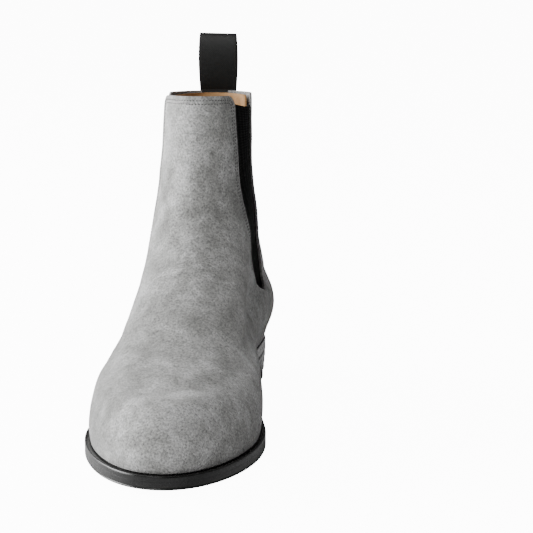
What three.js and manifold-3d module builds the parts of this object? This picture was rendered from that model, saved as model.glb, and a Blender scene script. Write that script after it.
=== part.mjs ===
// A Chelsea boot for the right foot, built up the way it is made: a lasted upper of suede panels with
// elastic gores between them, lining, stiffeners, insole, shank and cork, a stitched welt, an outsole and
// a stacked, nailed heel. Millimetres, +Z up, toe towards -Y, the inner (medial) side towards +X.
//
// The shapes are worked out in the boot's own station frame: x across, s forward from the back of the
// heel, z up from the ground. Every upper piece lies on one skin, the outside of the lasted boot, which
// is a stack of rings. A ring has a relative height h from 0 at the feather line, where the upper turns
// under, to 1 at the topline, and an angle a that is 0 at the back seam, a quarter turn on the medial
// side and half a turn on the front ridge.
import * as THREE from "three";
import { mergeVertices } from "three/addons/utils/BufferGeometryUtils.js";
import Module from "manifold-3d";

const wasm = await Module();
wasm.setup();

// ---- Driving sizes, mm -----------------------------------------------------------------------------
// Bottom profile, stations measured forward from the back of the heel.
const UPPER_LENGTH = 288;
const HEEL_HEIGHT = 18;
const TOE_SPRING = 3;
const BREAST_AT = 72;
const BALL_REAR_AT = 178;
const BALL_FRONT_AT = 212;
// Thickness of the bottom, from the tread to the seat the upper stands on.
const OUTSOLE_THICK = 4.4;
const WELT_THICK = 3.0;
// Plan widths from the centre line at the feather line.
const HEEL_HALF = 32.2;
const WAIST_MEDIAL = 29;
const WAIST_LATERAL = 35.5;
const BALL_MEDIAL = 46;
const BALL_LATERAL = 52;
const WAIST_AT = 106;
const BALL_MEDIAL_AT = 208;
const BALL_LATERAL_AT = 190;
const TOE_SHIFT = -1;
const TOE_CAP = 132;
const TOE_BLUNTNESS = 2.02;
// Side profile of the upper.
const TOE_BOX_HIGH = 39;
const VAMP_HIGH = 54.5;
const VAMP_FROM_TOE = 80;
const INSTEP_HIGH = 95;
const INSTEP_AT = 141;
const THROAT_HIGH = 122;
const THROAT_AT = 122;
const TOP_FRONT_HIGH = 182;
const TOP_FRONT_AT = 112;
const TOP_BACK_HIGH = 175.5;
const TOP_BACK_AT = 7;
// Fullness of the upper.
const UPPER_BULGE = 4.4;
const VAMP_TAPER = 0.15;
const BOX_CAP = 158;
const VAMP_CAP = 84;
const INSTEP_CAP = 70;
const SHAFT_CAP = 53;
const HEEL_CAP = 36;
const SHAFT_BACK_CAP = 50;
const ANKLE_BULGE = 5.6;
const ANKLE_MEDIAL = 30.3;
const ANKLE_LATERAL = 32.2;
const SHAFT_HALF = 26.4;
// Layers of the upper, and the gap kept between neighbours.
const SUEDE = 1.4;
const STIFFENER = 1.3;
const LINING = 1.0;
const GAP = 0.3;
const LASTING_MARGIN = 12;
// Panels: the side seam, the gore and the break in the front panel.
const SEAM_AT = 64;
const GORE_FOOT_H = 0.24;
const GORE_FOOT_RISE = 0.12;
const GORE_FOOT_HALF = 14;
const GORE_MIDDLE_H = 0.6;
const GORE_MIDDLE_FRONT_AT = 88;
const GORE_MIDDLE_BACK_AT = 46;
const GORE_TOP_FRONT_AT = 93;
const GORE_TOP_BACK_AT = 42;
const GORE_TOP_H = 0.95;
const GORE_TUCK = 4;
const BREAK_H = 0.6;
const PUFF_TOP_H = 0.2;
const PUFF_LENGTH = 52;
const COUNTER_TOP_H = 0.22;
const COUNTER_LENGTH = 72;
// Bottom pieces.
const INSOLE = 2.4;
const INSOLE_CLEARANCE = 0.6;
const SOCK = 1.2;
const HEEL_PAD = 3;
const HEEL_PAD_LENGTH = 62;
const SHANK_THICK = 1.3;
const SHANK_HALF = 7;
const SHANK_REAR_AT = 48;
const SHANK_FRONT_AT = 148;
const CORK_REAR_AT = 155;
const WELT_INSET = 8;
const EDGE_FRONT = 3;
const EDGE_WAIST = 0.9;
const EDGE_GROWS_FROM = 130;
const EDGE_FULL_AT = 190;
// Heel.
const LIFTS = 3;
const TOP_PIECE = 6;
const HEEL_TAPER = 1.6;
const NAILS = 5;
const NAIL_RADIUS = 0.9;
const NAIL_HEAD_RADIUS = 2;
const NAIL_HEAD = 1;
const NAIL_INSET = 10;
const NAIL_TO_BREAST = 12;
// Pull tab.
const TAB_WIDTH = 22.5;
const TAB_HIGH = 35;
const TAB_LOOP = 9.6;
const WEBBING = 1.1;
const TAB_PINCH = 5;
const TAB_END_LENGTH = 12;
const TAB_CLEARANCE = 0.6;

const STACK = OUTSOLE_THICK + GAP + WELT_THICK + GAP;
const LAYER_TWO = SUEDE + GAP;
const LAYER_THREE = LAYER_TWO + STIFFENER + GAP;
const UPPER_THICK = LAYER_THREE + LINING;

// ---- Small maths -----------------------------------------------------------------------------------
function clamp(value, low, high) {
  return Math.min(high, Math.max(low, value));
}

// 0 below a, 1 above b, and an even ease between them.
function ease(value, a, b) {
  const t = clamp((value - a) / (b - a), 0, 1);
  return t * t * (3 - 2 * t);
}

// A smooth curve through stations [t, value...], as a function of t.
function through(stations) {
  const t = stations.map((p) => p[0]);
  const count = stations.length;
  const width = stations[0].length - 1;
  const step = (i, k) => (stations[i + 1][k + 1] - stations[i][k + 1]) / (t[i + 1] - t[i]);
  const slope = (i, k) => {
    if (i === 0) return step(0, k);
    if (i === count - 1) return step(count - 2, k);
    const before = t[i] - t[i - 1];
    const after = t[i + 1] - t[i];
    return (after * step(i - 1, k) + before * step(i, k)) / (before + after);
  };
  return (x) => {
    const at = clamp(x, t[0], t[count - 1]);
    let i = 0;
    while (i < count - 2 && at > t[i + 1]) i += 1;
    const w = t[i + 1] - t[i];
    const u = (at - t[i]) / w;
    const out = [];
    for (let k = 0; k < width; k += 1) {
      const p = stations[i][k + 1];
      const q = stations[i + 1][k + 1];
      const bend = (1 - u) * (1 - u) * u * w * slope(i, k) - u * u * (1 - u) * w * slope(i + 1, k);
      out.push(p + u * u * (3 - 2 * u) * (q - p) + bend);
    }
    return out;
  };
}

// Straight runs through stations [t, value].
function straight(stations) {
  return (x) => {
    let i = 0;
    while (i < stations.length - 2 && x > stations[i + 1][0]) i += 1;
    const [t, p] = stations[i];
    const [next, q] = stations[i + 1];
    return p + (q - p) * clamp((x - t) / (next - t), 0, 1);
  };
}

// A smooth curve with its points spaced by the distance between them, on 0 to 1.
function line(points) {
  const run = [0];
  for (let i = 1; i < points.length; i += 1) {
    run.push(run[i - 1] + Math.hypot(points[i][0] - points[i - 1][0], points[i][1] - points[i - 1][1]));
  }
  return through(points.map((p, i) => [run[i] / run[run.length - 1], ...p]));
}

function steps(from, to, count) {
  return Array.from({ length: count + 1 }, (_, i) => from + ((to - from) * i) / count);
}

// ---- The last: the outside of the upper --------------------------------------------------------------
function tread(s) {
  const spring = Math.max(0, (s - BALL_FRONT_AT) / (UPPER_LENGTH - BALL_FRONT_AT));
  return HEEL_HEIGHT * (1 - ease(s, BREAST_AT, BALL_REAR_AT)) + TOE_SPRING * spring * spring;
}

function seat(s) {
  return tread(s) + STACK;
}

const backLine = line([
  [3, seat(3)],
  [0.5, seat(0) + 12],
  [0, seat(0) + 24],
  [3, seat(0) + 48],
  [8.5, TOP_BACK_HIGH - 73],
  [11, TOP_BACK_HIGH - 51],
  [TOP_BACK_AT + 2, TOP_BACK_HIGH - 23],
  [TOP_BACK_AT, TOP_BACK_HIGH],
]);

const VAMP_AT = UPPER_LENGTH - VAMP_FROM_TOE;
const frontLine = line([
  [UPPER_LENGTH - 2, seat(UPPER_LENGTH - 2)],
  [UPPER_LENGTH, seat(UPPER_LENGTH) + 8],
  [UPPER_LENGTH - 3, TOE_BOX_HIGH - 12],
  [UPPER_LENGTH - 14, TOE_BOX_HIGH],
  [UPPER_LENGTH - 40, TOE_BOX_HIGH + 0.35 * (VAMP_HIGH - TOE_BOX_HIGH)],
  [VAMP_AT, VAMP_HIGH],
  [(VAMP_AT + INSTEP_AT) / 2, (VAMP_HIGH + INSTEP_HIGH) / 2 - 2.5],
  [INSTEP_AT, INSTEP_HIGH],
  [THROAT_AT, THROAT_HIGH],
  [(THROAT_AT + TOP_FRONT_AT) / 2 - 1.5, (THROAT_HIGH + TOP_FRONT_HIGH) / 2],
  [TOP_FRONT_AT, TOP_FRONT_HIGH],
]);

const medialWidth = through([
  [0, HEEL_HALF],
  [40, HEEL_HALF],
  [WAIST_AT, WAIST_MEDIAL],
  [(WAIST_AT + BALL_MEDIAL_AT) / 2, (WAIST_MEDIAL + BALL_MEDIAL) / 2],
  [BALL_MEDIAL_AT, BALL_MEDIAL],
  [UPPER_LENGTH, BALL_MEDIAL],
]);
const lateralWidth = through([
  [0, HEEL_HALF],
  [40, HEEL_HALF],
  [WAIST_AT, WAIST_LATERAL],
  [(WAIST_AT + BALL_LATERAL_AT) / 2, (WAIST_LATERAL + BALL_LATERAL) / 2 + 1],
  [BALL_LATERAL_AT, BALL_LATERAL],
  [UPPER_LENGTH, BALL_LATERAL - 2],
]);
const frontCap = through([
  [0, TOE_CAP],
  [0.12, BOX_CAP],
  [0.33, VAMP_CAP],
  [0.55, INSTEP_CAP],
  [0.75, SHAFT_CAP + 6],
  [1, SHAFT_CAP],
]);
const backCap = through([
  [0, HEEL_CAP],
  [0.4, HEEL_CAP + 4],
  [0.8, SHAFT_BACK_CAP - 2],
  [1, SHAFT_BACK_CAP],
]);
const medialShaft = through([
  [0, ANKLE_MEDIAL],
  [0.3, ANKLE_MEDIAL + 3],
  [0.55, ANKLE_MEDIAL - 0.5],
  [0.8, SHAFT_HALF + 0.5],
  [1, SHAFT_HALF],
]);
const lateralShaft = through([
  [0, ANKLE_LATERAL],
  [0.3, ANKLE_LATERAL + 1.5],
  [0.55, ANKLE_LATERAL - 0.5],
  [0.8, 0.6 * SHAFT_HALF + 0.4 * ANKLE_LATERAL],
  [1, SHAFT_HALF],
]);

// The rounding of a ring towards one of its ends, u being the distance from that end over the cap.
function rounding(u, power) {
  return Math.pow(clamp(1 - Math.pow(1 - clamp(u, 0, 1), 2), 0, 1), 1 / power);
}

// A point on the skin: [x, s, z].
function skin(a, h) {
  const [backS, backZ] = backLine(h);
  const [frontS, frontZ] = frontLine(h);
  const along = (1 - Math.cos(a)) / 2;
  const s = backS + along * (frontS - backS);
  const level = backZ + along * (frontZ - backZ);
  const overSeat = (1 - along) * (backZ - seat(backS)) + along * (frontZ - seat(frontS));
  const rise = ease(h, 0, 0.6);
  const z = (seat(s) + overSeat) * (1 - rise) + level * rise;
  const medial = Math.sin(a) >= 0;
  const bulge = UPPER_BULGE * Math.sin(Math.PI * clamp(h / 0.3, 0, 1));
  const plan = (medial ? medialWidth(s) : lateralWidth(s))[0];
  const ankle = medial ? ANKLE_BULGE * Math.sin(Math.PI * clamp((h - 0.04) / 0.44, 0, 1)) : 0;
  const foot = plan * (1 - VAMP_TAPER * ease(h, 0.03, 0.28)) + bulge + ankle * (1 - ease(s, 60, 125));
  const shaft = (medial ? medialShaft(h) : lateralShaft(h))[0];
  const climb = ease(h, 0.18, 0.72);
  const blunt = 2 + (TOE_BLUNTNESS - 2) * (1 - ease(h, 0, 0.35));
  const front = rounding((frontS - s) / frontCap(h)[0], blunt);
  const back = rounding((s - backS) / backCap(h)[0], 2.2);
  const half = (foot * (1 - climb) + shaft * climb) * front * back;
  const shift = TOE_SHIFT * ease(s, 0.5 * UPPER_LENGTH, UPPER_LENGTH);
  return [shift + (medial ? half : -half), s, z];
}

// The outward unit normal of the skin.
function skinNormal(a, h) {
  const da = 0.02;
  const dh = 0.004;
  const high = Math.min(1, h + dh);
  const low = Math.max(0, h - dh);
  const round = new THREE.Vector3(...skin(a + da, h)).sub(new THREE.Vector3(...skin(a - da, h)));
  const up = new THREE.Vector3(...skin(a, high)).sub(new THREE.Vector3(...skin(a, low)));
  return round.cross(up).normalize();
}

// A point at a depth under the skin. It never goes under the lasting margin of its own layer.
function under(a, h, depth) {
  const p = skin(a, h);
  const n = skinNormal(a, h);
  const z = Math.max(p[2] - n.z * depth, seat(p[1]) + depth);
  return [p[0] - n.x * depth, p[1] - n.y * depth, z];
}

// The feather line seen from above, moved outwards by a distance, at a given height over the ground.
function feather(a, outwards, height) {
  const p = skin(a, 0);
  const before = skin(a - 0.02, 0);
  const after = skin(a + 0.02, 0);
  const alongX = after[0] - before[0];
  const alongS = after[1] - before[1];
  const size = Math.hypot(alongX, alongS);
  const s = p[1] - (alongX / size) * outwards;
  return [p[0] + (alongS / size) * outwards, s, height(s)];
}

// The ring angle, on the medial side, of a station s at relative height h.
function angleAt(s, h) {
  const backS = backLine(h)[0];
  const frontS = frontLine(h)[0];
  return Math.acos(clamp(1 - (2 * (s - backS)) / (frontS - backS), -1, 1));
}

// How far the sole's edge stands out past the feather line.
function edge(s) {
  return EDGE_WAIST + (EDGE_FRONT - EDGE_WAIST) * ease(s, EDGE_GROWS_FROM, EDGE_FULL_AT);
}

// ---- Solids ----------------------------------------------------------------------------------------
// A geometry from points in the station frame and triangles, turned to face outwards in the boot frame.
function solid(points, triangles) {
  const positions = new Float32Array(points.length * 3);
  points.forEach(([x, s, z], i) => positions.set([x, -s, z], 3 * i));
  let volume = 0;
  const corner = (i) => new THREE.Vector3().fromArray(positions, 3 * i);
  triangles.forEach(([a, b, c]) => {
    volume += corner(a).dot(corner(b).cross(corner(c)));
  });
  const index = volume < 0 ? triangles.flatMap(([a, b, c]) => [a, c, b]) : triangles.flat();
  const geometry = new THREE.BufferGeometry();
  geometry.setAttribute("position", new THREE.BufferAttribute(positions, 3));
  geometry.setIndex(index);
  geometry.computeVertexNormals();
  return geometry;
}

// A closed section carried through a list of stations, capped at both ends or joined into a ring.
function sweep(sections, ring = false) {
  const size = sections[0].length;
  const count = sections.length;
  const triangles = [];
  const last = ring ? count : count - 1;
  for (let k = 0; k < last; k += 1) {
    const next = (k + 1) % count;
    for (let i = 0; i < size; i += 1) {
      const j = (i + 1) % size;
      const [a, b, c, d] = [k * size + i, next * size + i, next * size + j, k * size + j];
      triangles.push([a, b, c], [a, c, d]);
    }
  }
  if (!ring) {
    const end = (count - 1) * size;
    for (let i = 1; i < size - 1; i += 1) {
      triangles.push([0, i, i + 1], [end, end + i + 1, end + i]);
    }
  }
  return solid(sections.flat(), triangles);
}

// One layer of the upper. Each row is {h, from, to, margin}: a strip of the skin at one relative height
// between two ring angles, or, with a margin, the lasting margin turned in by that much.
function layer(rows, outer, inner, columns) {
  const place = (row, a, depth) => {
    if (row.margin === undefined) return under(a, row.h, depth);
    return feather(a, -depth - row.margin, (s) => seat(s) + depth);
  };
  const points = [];
  [outer, inner].forEach((depth) => {
    rows.forEach((row) => {
      steps(row.from, row.to, columns).forEach((a) => points.push(place(row, a, depth)));
    });
  });
  const wide = columns + 1;
  const half = rows.length * wide;
  const triangles = [];
  const quad = (a, b, c, d) => triangles.push([a, b, c], [a, c, d]);
  const at = (i, j) => i * wide + j;
  for (let i = 0; i < rows.length - 1; i += 1) {
    for (let j = 0; j < columns; j += 1) {
      quad(at(i, j), at(i, j + 1), at(i + 1, j + 1), at(i + 1, j));
      quad(half + at(i, j), half + at(i + 1, j), half + at(i + 1, j + 1), half + at(i, j + 1));
    }
    quad(at(i, 0), at(i + 1, 0), half + at(i + 1, 0), half + at(i, 0));
    quad(at(i + 1, columns), at(i, columns), half + at(i, columns), half + at(i + 1, columns));
  }
  const top = rows.length - 1;
  for (let j = 0; j < columns; j += 1) {
    quad(at(0, j + 1), at(0, j), half + at(0, j), half + at(0, j + 1));
    quad(at(top, j), at(top, j + 1), half + at(top, j + 1), half + at(top, j));
  }
  return solid(points, triangles);
}

// A bottom layer cut to the feather line, from one station forward to another. Its edge stands out by
// outwards(s), and its faces lie at the heights low(s) and high(s).
function slab(rearAngle, frontAngle, outwards, low, high, count) {
  const sections = steps(rearAngle, frontAngle, count).map((a) => {
    const push = outwards(skin(a, 0)[1]);
    return [
      feather(2 * Math.PI - a, push, low),
      feather(a, push, low),
      feather(a, push, high),
      feather(2 * Math.PI - a, push, high),
    ];
  });
  return sweep(sections);
}

// A strip that follows the feather line from one ring angle to another.
function strip(from, to, inner, outer, low, high, count) {
  const sections = steps(from, to, count).map((a) => {
    const s = skin(a, 0)[1];
    return [
      feather(a, inner(s), low),
      feather(a, outer(s), low),
      feather(a, outer(s), high),
      feather(a, inner(s), high),
    ];
  });
  return sweep(sections);
}

function toManifold(geometry) {
  const bare = geometry.clone();
  bare.deleteAttribute("normal");
  bare.deleteAttribute("uv");
  const merged = mergeVertices(bare, 1e-3);
  const vertProperties = new Float32Array(merged.attributes.position.array);
  const triVerts = new Uint32Array(merged.index.array);
  return new wasm.Manifold(new wasm.Mesh({ numProp: 3, vertProperties, triVerts }));
}

function fromManifold(manifold) {
  const mesh = manifold.getMesh();
  const geometry = new THREE.BufferGeometry();
  const positions = new Float32Array((mesh.vertProperties.length / mesh.numProp) * 3);
  for (let i = 0; i < positions.length / 3; i += 1) {
    positions.set(mesh.vertProperties.subarray(i * mesh.numProp, i * mesh.numProp + 3), 3 * i);
  }
  geometry.setAttribute("position", new THREE.BufferAttribute(positions, 3));
  geometry.setIndex(Array.from(mesh.triVerts));
  geometry.computeVertexNormals();
  return geometry;
}

function drilled(geometry, tools) {
  let result = toManifold(geometry);
  tools.forEach((tool) => {
    result = result.subtract(toManifold(tool));
  });
  return fromManifold(result);
}

// ---- Panels of the upper -----------------------------------------------------------------------------
// The two edges that face each other across the side seam and the gore, as stations at a height h.
const panelFront = straight([
  [0, SEAM_AT + 2 + GAP / 2],
  [GORE_FOOT_H, SEAM_AT + GAP / 2],
  [GORE_FOOT_H + GORE_FOOT_RISE, SEAM_AT + GORE_FOOT_HALF],
  [GORE_MIDDLE_H, GORE_MIDDLE_FRONT_AT],
  [1, GORE_TOP_FRONT_AT],
]);
const panelBack = straight([
  [0, SEAM_AT + 2 - GAP / 2],
  [GORE_FOOT_H, SEAM_AT - GAP / 2],
  [GORE_FOOT_H + GORE_FOOT_RISE, SEAM_AT - GORE_FOOT_HALF],
  [GORE_MIDDLE_H, GORE_MIDDLE_BACK_AT],
  [1, GORE_TOP_BACK_AT],
]);

function frontRow(h, margin) {
  const a = angleAt(panelFront(h), h);
  return { h, from: a, to: 2 * Math.PI - a, margin };
}

function backRow(h, margin) {
  const a = angleAt(panelBack(h), h);
  return { h, from: -a, to: a, margin };
}

const FOOT_HEIGHTS = [0.03, 0.07, 0.12, 0.17, 0.22, GORE_FOOT_H];
const GORE_FOOT_HEIGHTS = [GORE_FOOT_H + GORE_FOOT_RISE / 2, GORE_FOOT_H + GORE_FOOT_RISE];
const ANKLE_HEIGHTS = [0.38, 0.44, 0.52];
const SHAFT_HEIGHTS = [0.66, 0.74, 0.83, 0.92];
const BREAK_GAP_H = 0.0022;

function vampRows() {
  const heights = [...FOOT_HEIGHTS, ...GORE_FOOT_HEIGHTS, ...ANKLE_HEIGHTS, BREAK_H - BREAK_GAP_H];
  return [frontRow(0, LASTING_MARGIN), frontRow(0, 0), ...heights.map((h) => frontRow(h))];
}

function shaftFrontRows() {
  return [BREAK_H + BREAK_GAP_H, ...SHAFT_HEIGHTS, 1].map((h) => frontRow(h));
}

function quarterRows() {
  const heights = [...FOOT_HEIGHTS, ...GORE_FOOT_HEIGHTS, ...ANKLE_HEIGHTS, BREAK_H, ...SHAFT_HEIGHTS, 1];
  return [backRow(0, LASTING_MARGIN), backRow(0, 0), ...heights.map((h) => backRow(h))];
}

// The elastic between the panels, tucked in under both edges, on one side of the boot.
function gore(medial) {
  const shaft = [...GORE_FOOT_HEIGHTS, ...ANKLE_HEIGHTS, BREAK_H, ...SHAFT_HEIGHTS];
  const heights = [GORE_FOOT_H, ...shaft, GORE_TOP_H];
  const rows = heights.map((h) => {
    const from = angleAt(panelBack(h) - GORE_TUCK, h);
    const to = angleAt(panelFront(h) + GORE_TUCK, h);
    return medial ? { h, from, to } : { h, from: 2 * Math.PI - to, to: 2 * Math.PI - from };
  });
  return layer(rows, LAYER_TWO, LAYER_TWO + STIFFENER, 8);
}

function toePuff() {
  const heights = FOOT_HEIGHTS.filter((h) => h < PUFF_TOP_H);
  const rows = [...heights, PUFF_TOP_H].map((h) => {
    const a = angleAt(UPPER_LENGTH - PUFF_LENGTH, h);
    return { h, from: a, to: 2 * Math.PI - a };
  });
  return layer(rows, LAYER_TWO, LAYER_TWO + STIFFENER, 32);
}

function heelCounter() {
  const heights = FOOT_HEIGHTS.filter((h) => h < COUNTER_TOP_H);
  const rows = [...heights, COUNTER_TOP_H].map((h) => {
    const a = angleAt(COUNTER_LENGTH, h);
    return { h, from: -a, to: a };
  });
  return layer(rows, LAYER_TWO, LAYER_TWO + STIFFENER, 24);
}

// ---- Pull tab ----------------------------------------------------------------------------------------
const TAB_ROOT_S = TOP_BACK_AT + LAYER_TWO + STIFFENER / 2;
const TAB_ROOT_Z = TOP_BACK_HIGH + TAB_CLEARANCE;

// Half the loop's thickness where it is a share v of the way up: pinched at the foot, full above the middle.
function loopHalf(v, most, foot) {
  const fullest = 0.74;
  return (most / fullest) * 2 * Math.sqrt(v * (1 - v)) * (foot + (1 - foot) * v);
}

// The standing loop of webbing, with its two plies sewn together at the foot.
function pullTabLoop() {
  const half = TAB_WIDTH / 2;
  const sections = steps(0, 2 * Math.PI, 28).slice(0, -1).map((turn) => {
    const v = (1 - Math.cos(turn)) / 2;
    const side = Math.sign(Math.sin(turn));
    const outerS = TAB_ROOT_S + side * loopHalf(v, TAB_LOOP / 2, 0.35);
    const innerS = TAB_ROOT_S + side * loopHalf(v, TAB_LOOP / 2 - WEBBING, 0.5);
    const outerZ = TAB_ROOT_Z + TAB_HIGH * v;
    const innerZ = TAB_ROOT_Z + TAB_PINCH + (TAB_HIGH - TAB_PINCH - WEBBING) * v;
    return [
      [-half, outerS, outerZ],
      [half, outerS, outerZ],
      [half, innerS, innerZ],
      [-half, innerS, innerZ],
    ];
  });
  return sweep(sections, true);
}

// The ends of the webbing, sewn between the quarter and its lining.
function pullTabEnd() {
  const shaft = TOP_BACK_HIGH - backLine(0.9)[1];
  const lowest = 1 - (0.1 * TAB_END_LENGTH) / shaft;
  const rows = steps(lowest, 0.998, 3).map((h) => {
    let a = 0;
    while (skin(a, h)[0] < TAB_WIDTH / 2) a += 0.005;
    return { h, from: -a, to: a };
  });
  return layer(rows, LAYER_TWO, LAYER_TWO + STIFFENER, 6);
}

// ---- Bottom ------------------------------------------------------------------------------------------
const TIP = 0.12;
const BREAST = angleAt(BREAST_AT, 0);
const FULL = [TIP, Math.PI - TIP];
const outsoleTop = (s) => seat(s) - GAP - WELT_THICK - GAP;
const insoleLow = (s) => seat(s) + UPPER_THICK + GAP;
const insoleHigh = (s) => insoleLow(s) + INSOLE;
const insoleEdge = () => -UPPER_THICK - INSOLE_CLEARANCE;
const HEEL_PAD_START = 9;
const SOCK_RAMP = 14;

function sockLow(s) {
  const padEnd = HEEL_PAD_START + HEEL_PAD_LENGTH + 2;
  return insoleHigh(s) + GAP + (HEEL_PAD + GAP) * (1 - ease(s, padEnd, padEnd + SOCK_RAMP));
}

function welt() {
  const low = (s) => seat(s) - GAP - WELT_THICK;
  const high = (s) => seat(s) - GAP;
  return strip(BREAST, 2 * Math.PI - BREAST, () => -WELT_INSET, edge, low, high, 44);
}

function heelRand() {
  const low = (s) => seat(s) - GAP - WELT_THICK;
  const high = (s) => seat(s) - GAP;
  const end = angleAt(BREAST_AT - GAP, 0);
  return strip(-end, end, () => -WELT_INSET, edge, low, high, 18);
}

function heelPad() {
  const low = (s) => insoleHigh(s) + GAP;
  const high = (s) => insoleHigh(s) + GAP + HEEL_PAD;
  const rear = angleAt(HEEL_PAD_START, 0);
  const front = angleAt(HEEL_PAD_START + HEEL_PAD_LENGTH, 0);
  return slab(rear, front, () => insoleEdge() - 3, low, high, 10);
}

// The cork that levels the forepart inside the lasting margin.
function corkFiller() {
  const high = (s) => insoleLow(s) - GAP;
  const low = (s) => outsoleTop(s) + GAP;
  const inset = () => -LASTING_MARGIN - UPPER_THICK - GAP;
  return slab(angleAt(CORK_REAR_AT, 0), Math.PI - 2 * TIP, inset, low, high, 14);
}

function shank() {
  const sections = steps(SHANK_REAR_AT, SHANK_FRONT_AT, 14).map((s) => {
    const top = insoleLow(s) - GAP;
    return [
      [-SHANK_HALF, s, top - SHANK_THICK],
      [SHANK_HALF, s, top - SHANK_THICK],
      [SHANK_HALF, s, top],
      [-SHANK_HALF, s, top],
    ];
  });
  return sweep(sections);
}

// A nail driven down through the outsole into the lifts, grown by a clearance when it is a drill.
const NAIL_TOP = HEEL_HEIGHT + OUTSOLE_THICK;
const NAIL_LENGTH = NAIL_TOP - TOP_PIECE - 2 * GAP;

function nailSpot(k) {
  const spread = angleAt(BREAST_AT - NAIL_TO_BREAST, 0);
  const a = spread * ((2 * k) / (NAILS - 1) - 1);
  const [x, s] = feather(a, -NAIL_INSET, tread);
  return [x, s];
}

function nail(grow) {
  const radius = NAIL_RADIUS + grow;
  const head = NAIL_HEAD_RADIUS + grow;
  const top = grow > 0 ? grow + 1 : 0;
  const profile = [
    [0, -NAIL_LENGTH - 2 * grow],
    [radius, -NAIL_LENGTH + NAIL_RADIUS - grow],
    [radius, -NAIL_HEAD - grow],
    [head, -NAIL_HEAD - grow],
    [head, top],
    [0, top],
  ];
  return new THREE.LatheGeometry(profile.map(([r, z]) => new THREE.Vector2(r, z)), 8)
    .rotateX(Math.PI / 2);
}

function nailAt(k, grow) {
  const [x, s] = nailSpot(k);
  return nail(grow).translate(x, -s, NAIL_TOP);
}

function drills() {
  return Array.from({ length: NAILS }, (_, k) => nailAt(k, GAP));
}

function outsole() {
  return drilled(slab(...FULL, edge, tread, outsoleTop, 44), drills());
}

// The heel narrows a little towards the ground.
function heelEdge(height) {
  return () => EDGE_WAIST - (HEEL_TAPER * (HEEL_HEIGHT - height)) / HEEL_HEIGHT;
}

const LIFT = (HEEL_HEIGHT - TOP_PIECE - (LIFTS + 1) * GAP) / LIFTS;

function heelLift(k) {
  const low = TOP_PIECE + GAP + k * (LIFT + GAP);
  return drilled(slab(TIP, BREAST, heelEdge(low), () => low, () => low + LIFT, 12), drills());
}

function heelTopPiece() {
  return slab(TIP, BREAST, heelEdge(0), () => 0, () => TOP_PIECE, 12);
}

// ---- Finishes and assembly -----------------------------------------------------------------------------
const FINISH = {
  suede: { color: 0x8d9191, roughness: 0.95, metalness: 0 },
  elastic: { color: 0x17181a, roughness: 0.8, metalness: 0 },
  webbing: { color: 0x141416, roughness: 0.55, metalness: 0 },
  lining: { color: 0xb98b57, roughness: 0.6, metalness: 0 },
  stiffener: { color: 0xd8d2c4, roughness: 0.8, metalness: 0 },
  board: { color: 0x9a7650, roughness: 0.85, metalness: 0 },
  sock: { color: 0xb48a5a, roughness: 0.6, metalness: 0 },
  foam: { color: 0xe6e1d2, roughness: 0.9, metalness: 0 },
  steel: { color: 0x9da2a6, roughness: 0.35, metalness: 1 },
  cork: { color: 0xa87c4f, roughness: 0.95, metalness: 0 },
  edge: { color: 0x101012, roughness: 0.35, metalness: 0 },
  leather: { color: 0x18130f, roughness: 0.5, metalness: 0 },
  rubber: { color: 0x121213, roughness: 0.7, metalness: 0 },
};

const boot = new THREE.Group();

function add(name, geometry, finish) {
  const mesh = new THREE.Mesh(geometry, new THREE.MeshStandardMaterial(FINISH[finish]));
  mesh.name = name;
  boot.add(mesh);
}

add("vamp", layer(vampRows(), 0, SUEDE, 44), "suede");
add("shaft_front", layer(shaftFrontRows(), 0, SUEDE, 44), "suede");
add("back_quarter", layer(quarterRows(), 0, SUEDE, 30), "suede");
add("gore_medial", gore(true), "elastic");
add("gore_lateral", gore(false), "elastic");
add("vamp_lining", layer(vampRows(), LAYER_THREE, UPPER_THICK, 44), "lining");
add("shaft_front_lining", layer(shaftFrontRows(), LAYER_THREE, UPPER_THICK, 44), "lining");
add("quarter_lining", layer(quarterRows(), LAYER_THREE, UPPER_THICK, 26), "lining");
add("toe_puff", toePuff(), "stiffener");
add("heel_counter", heelCounter(), "stiffener");
add("pull_tab", pullTabLoop(), "webbing");
add("pull_tab_end", pullTabEnd(), "webbing");
add("insole_board", slab(...FULL, insoleEdge, insoleLow, insoleHigh, 44), "board");
add("heel_pad", heelPad(), "foam");
add("sock_liner", slab(...FULL, () => insoleEdge() - GAP, sockLow, (s) => sockLow(s) + SOCK, 44), "sock");
add("shank", shank(), "steel");
add("cork_filler", corkFiller(), "cork");
add("welt", welt(), "edge");
add("heel_rand", heelRand(), "edge");
add("outsole", outsole(), "leather");
for (let k = 0; k < LIFTS; k += 1) {
  add(`heel_lift_${k + 1}`, heelLift(k), "leather");
}
add("heel_top_piece", heelTopPiece(), "rubber");
for (let k = 0; k < NAILS; k += 1) {
  add(`heel_nail_${k + 1}`, nailAt(k, 0), "steel");
}

// The origin is on the ground, under the middle of the boot's length and width.
const box = new THREE.Box3().setFromObject(boot);
boot.position.set(-(box.min.x + box.max.x) / 2, -(box.min.y + box.max.y) / 2, -box.min.z);

export default boot;
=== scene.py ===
"""A grey suede chelsea boot for the right foot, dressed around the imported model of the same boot.

The boot's own station frame is x across with the inner (medial) side positive, s forward from the back
of the heel and z up from the ground, in millimetres. The upper lies on one skin, a stack of rings: a ring
has a relative height h, 0 at the feather line and 1 at the topline, and an angle a, 0 at the back seam,
a quarter turn on the medial side and half a turn on the front ridge.
"""
import logging
import math
from dataclasses import dataclass, field
from enum import Enum
from typing import Callable, Optional, Sequence

import bmesh
import bpy
import numpy as np
from mathutils import Matrix, Vector, noise


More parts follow.
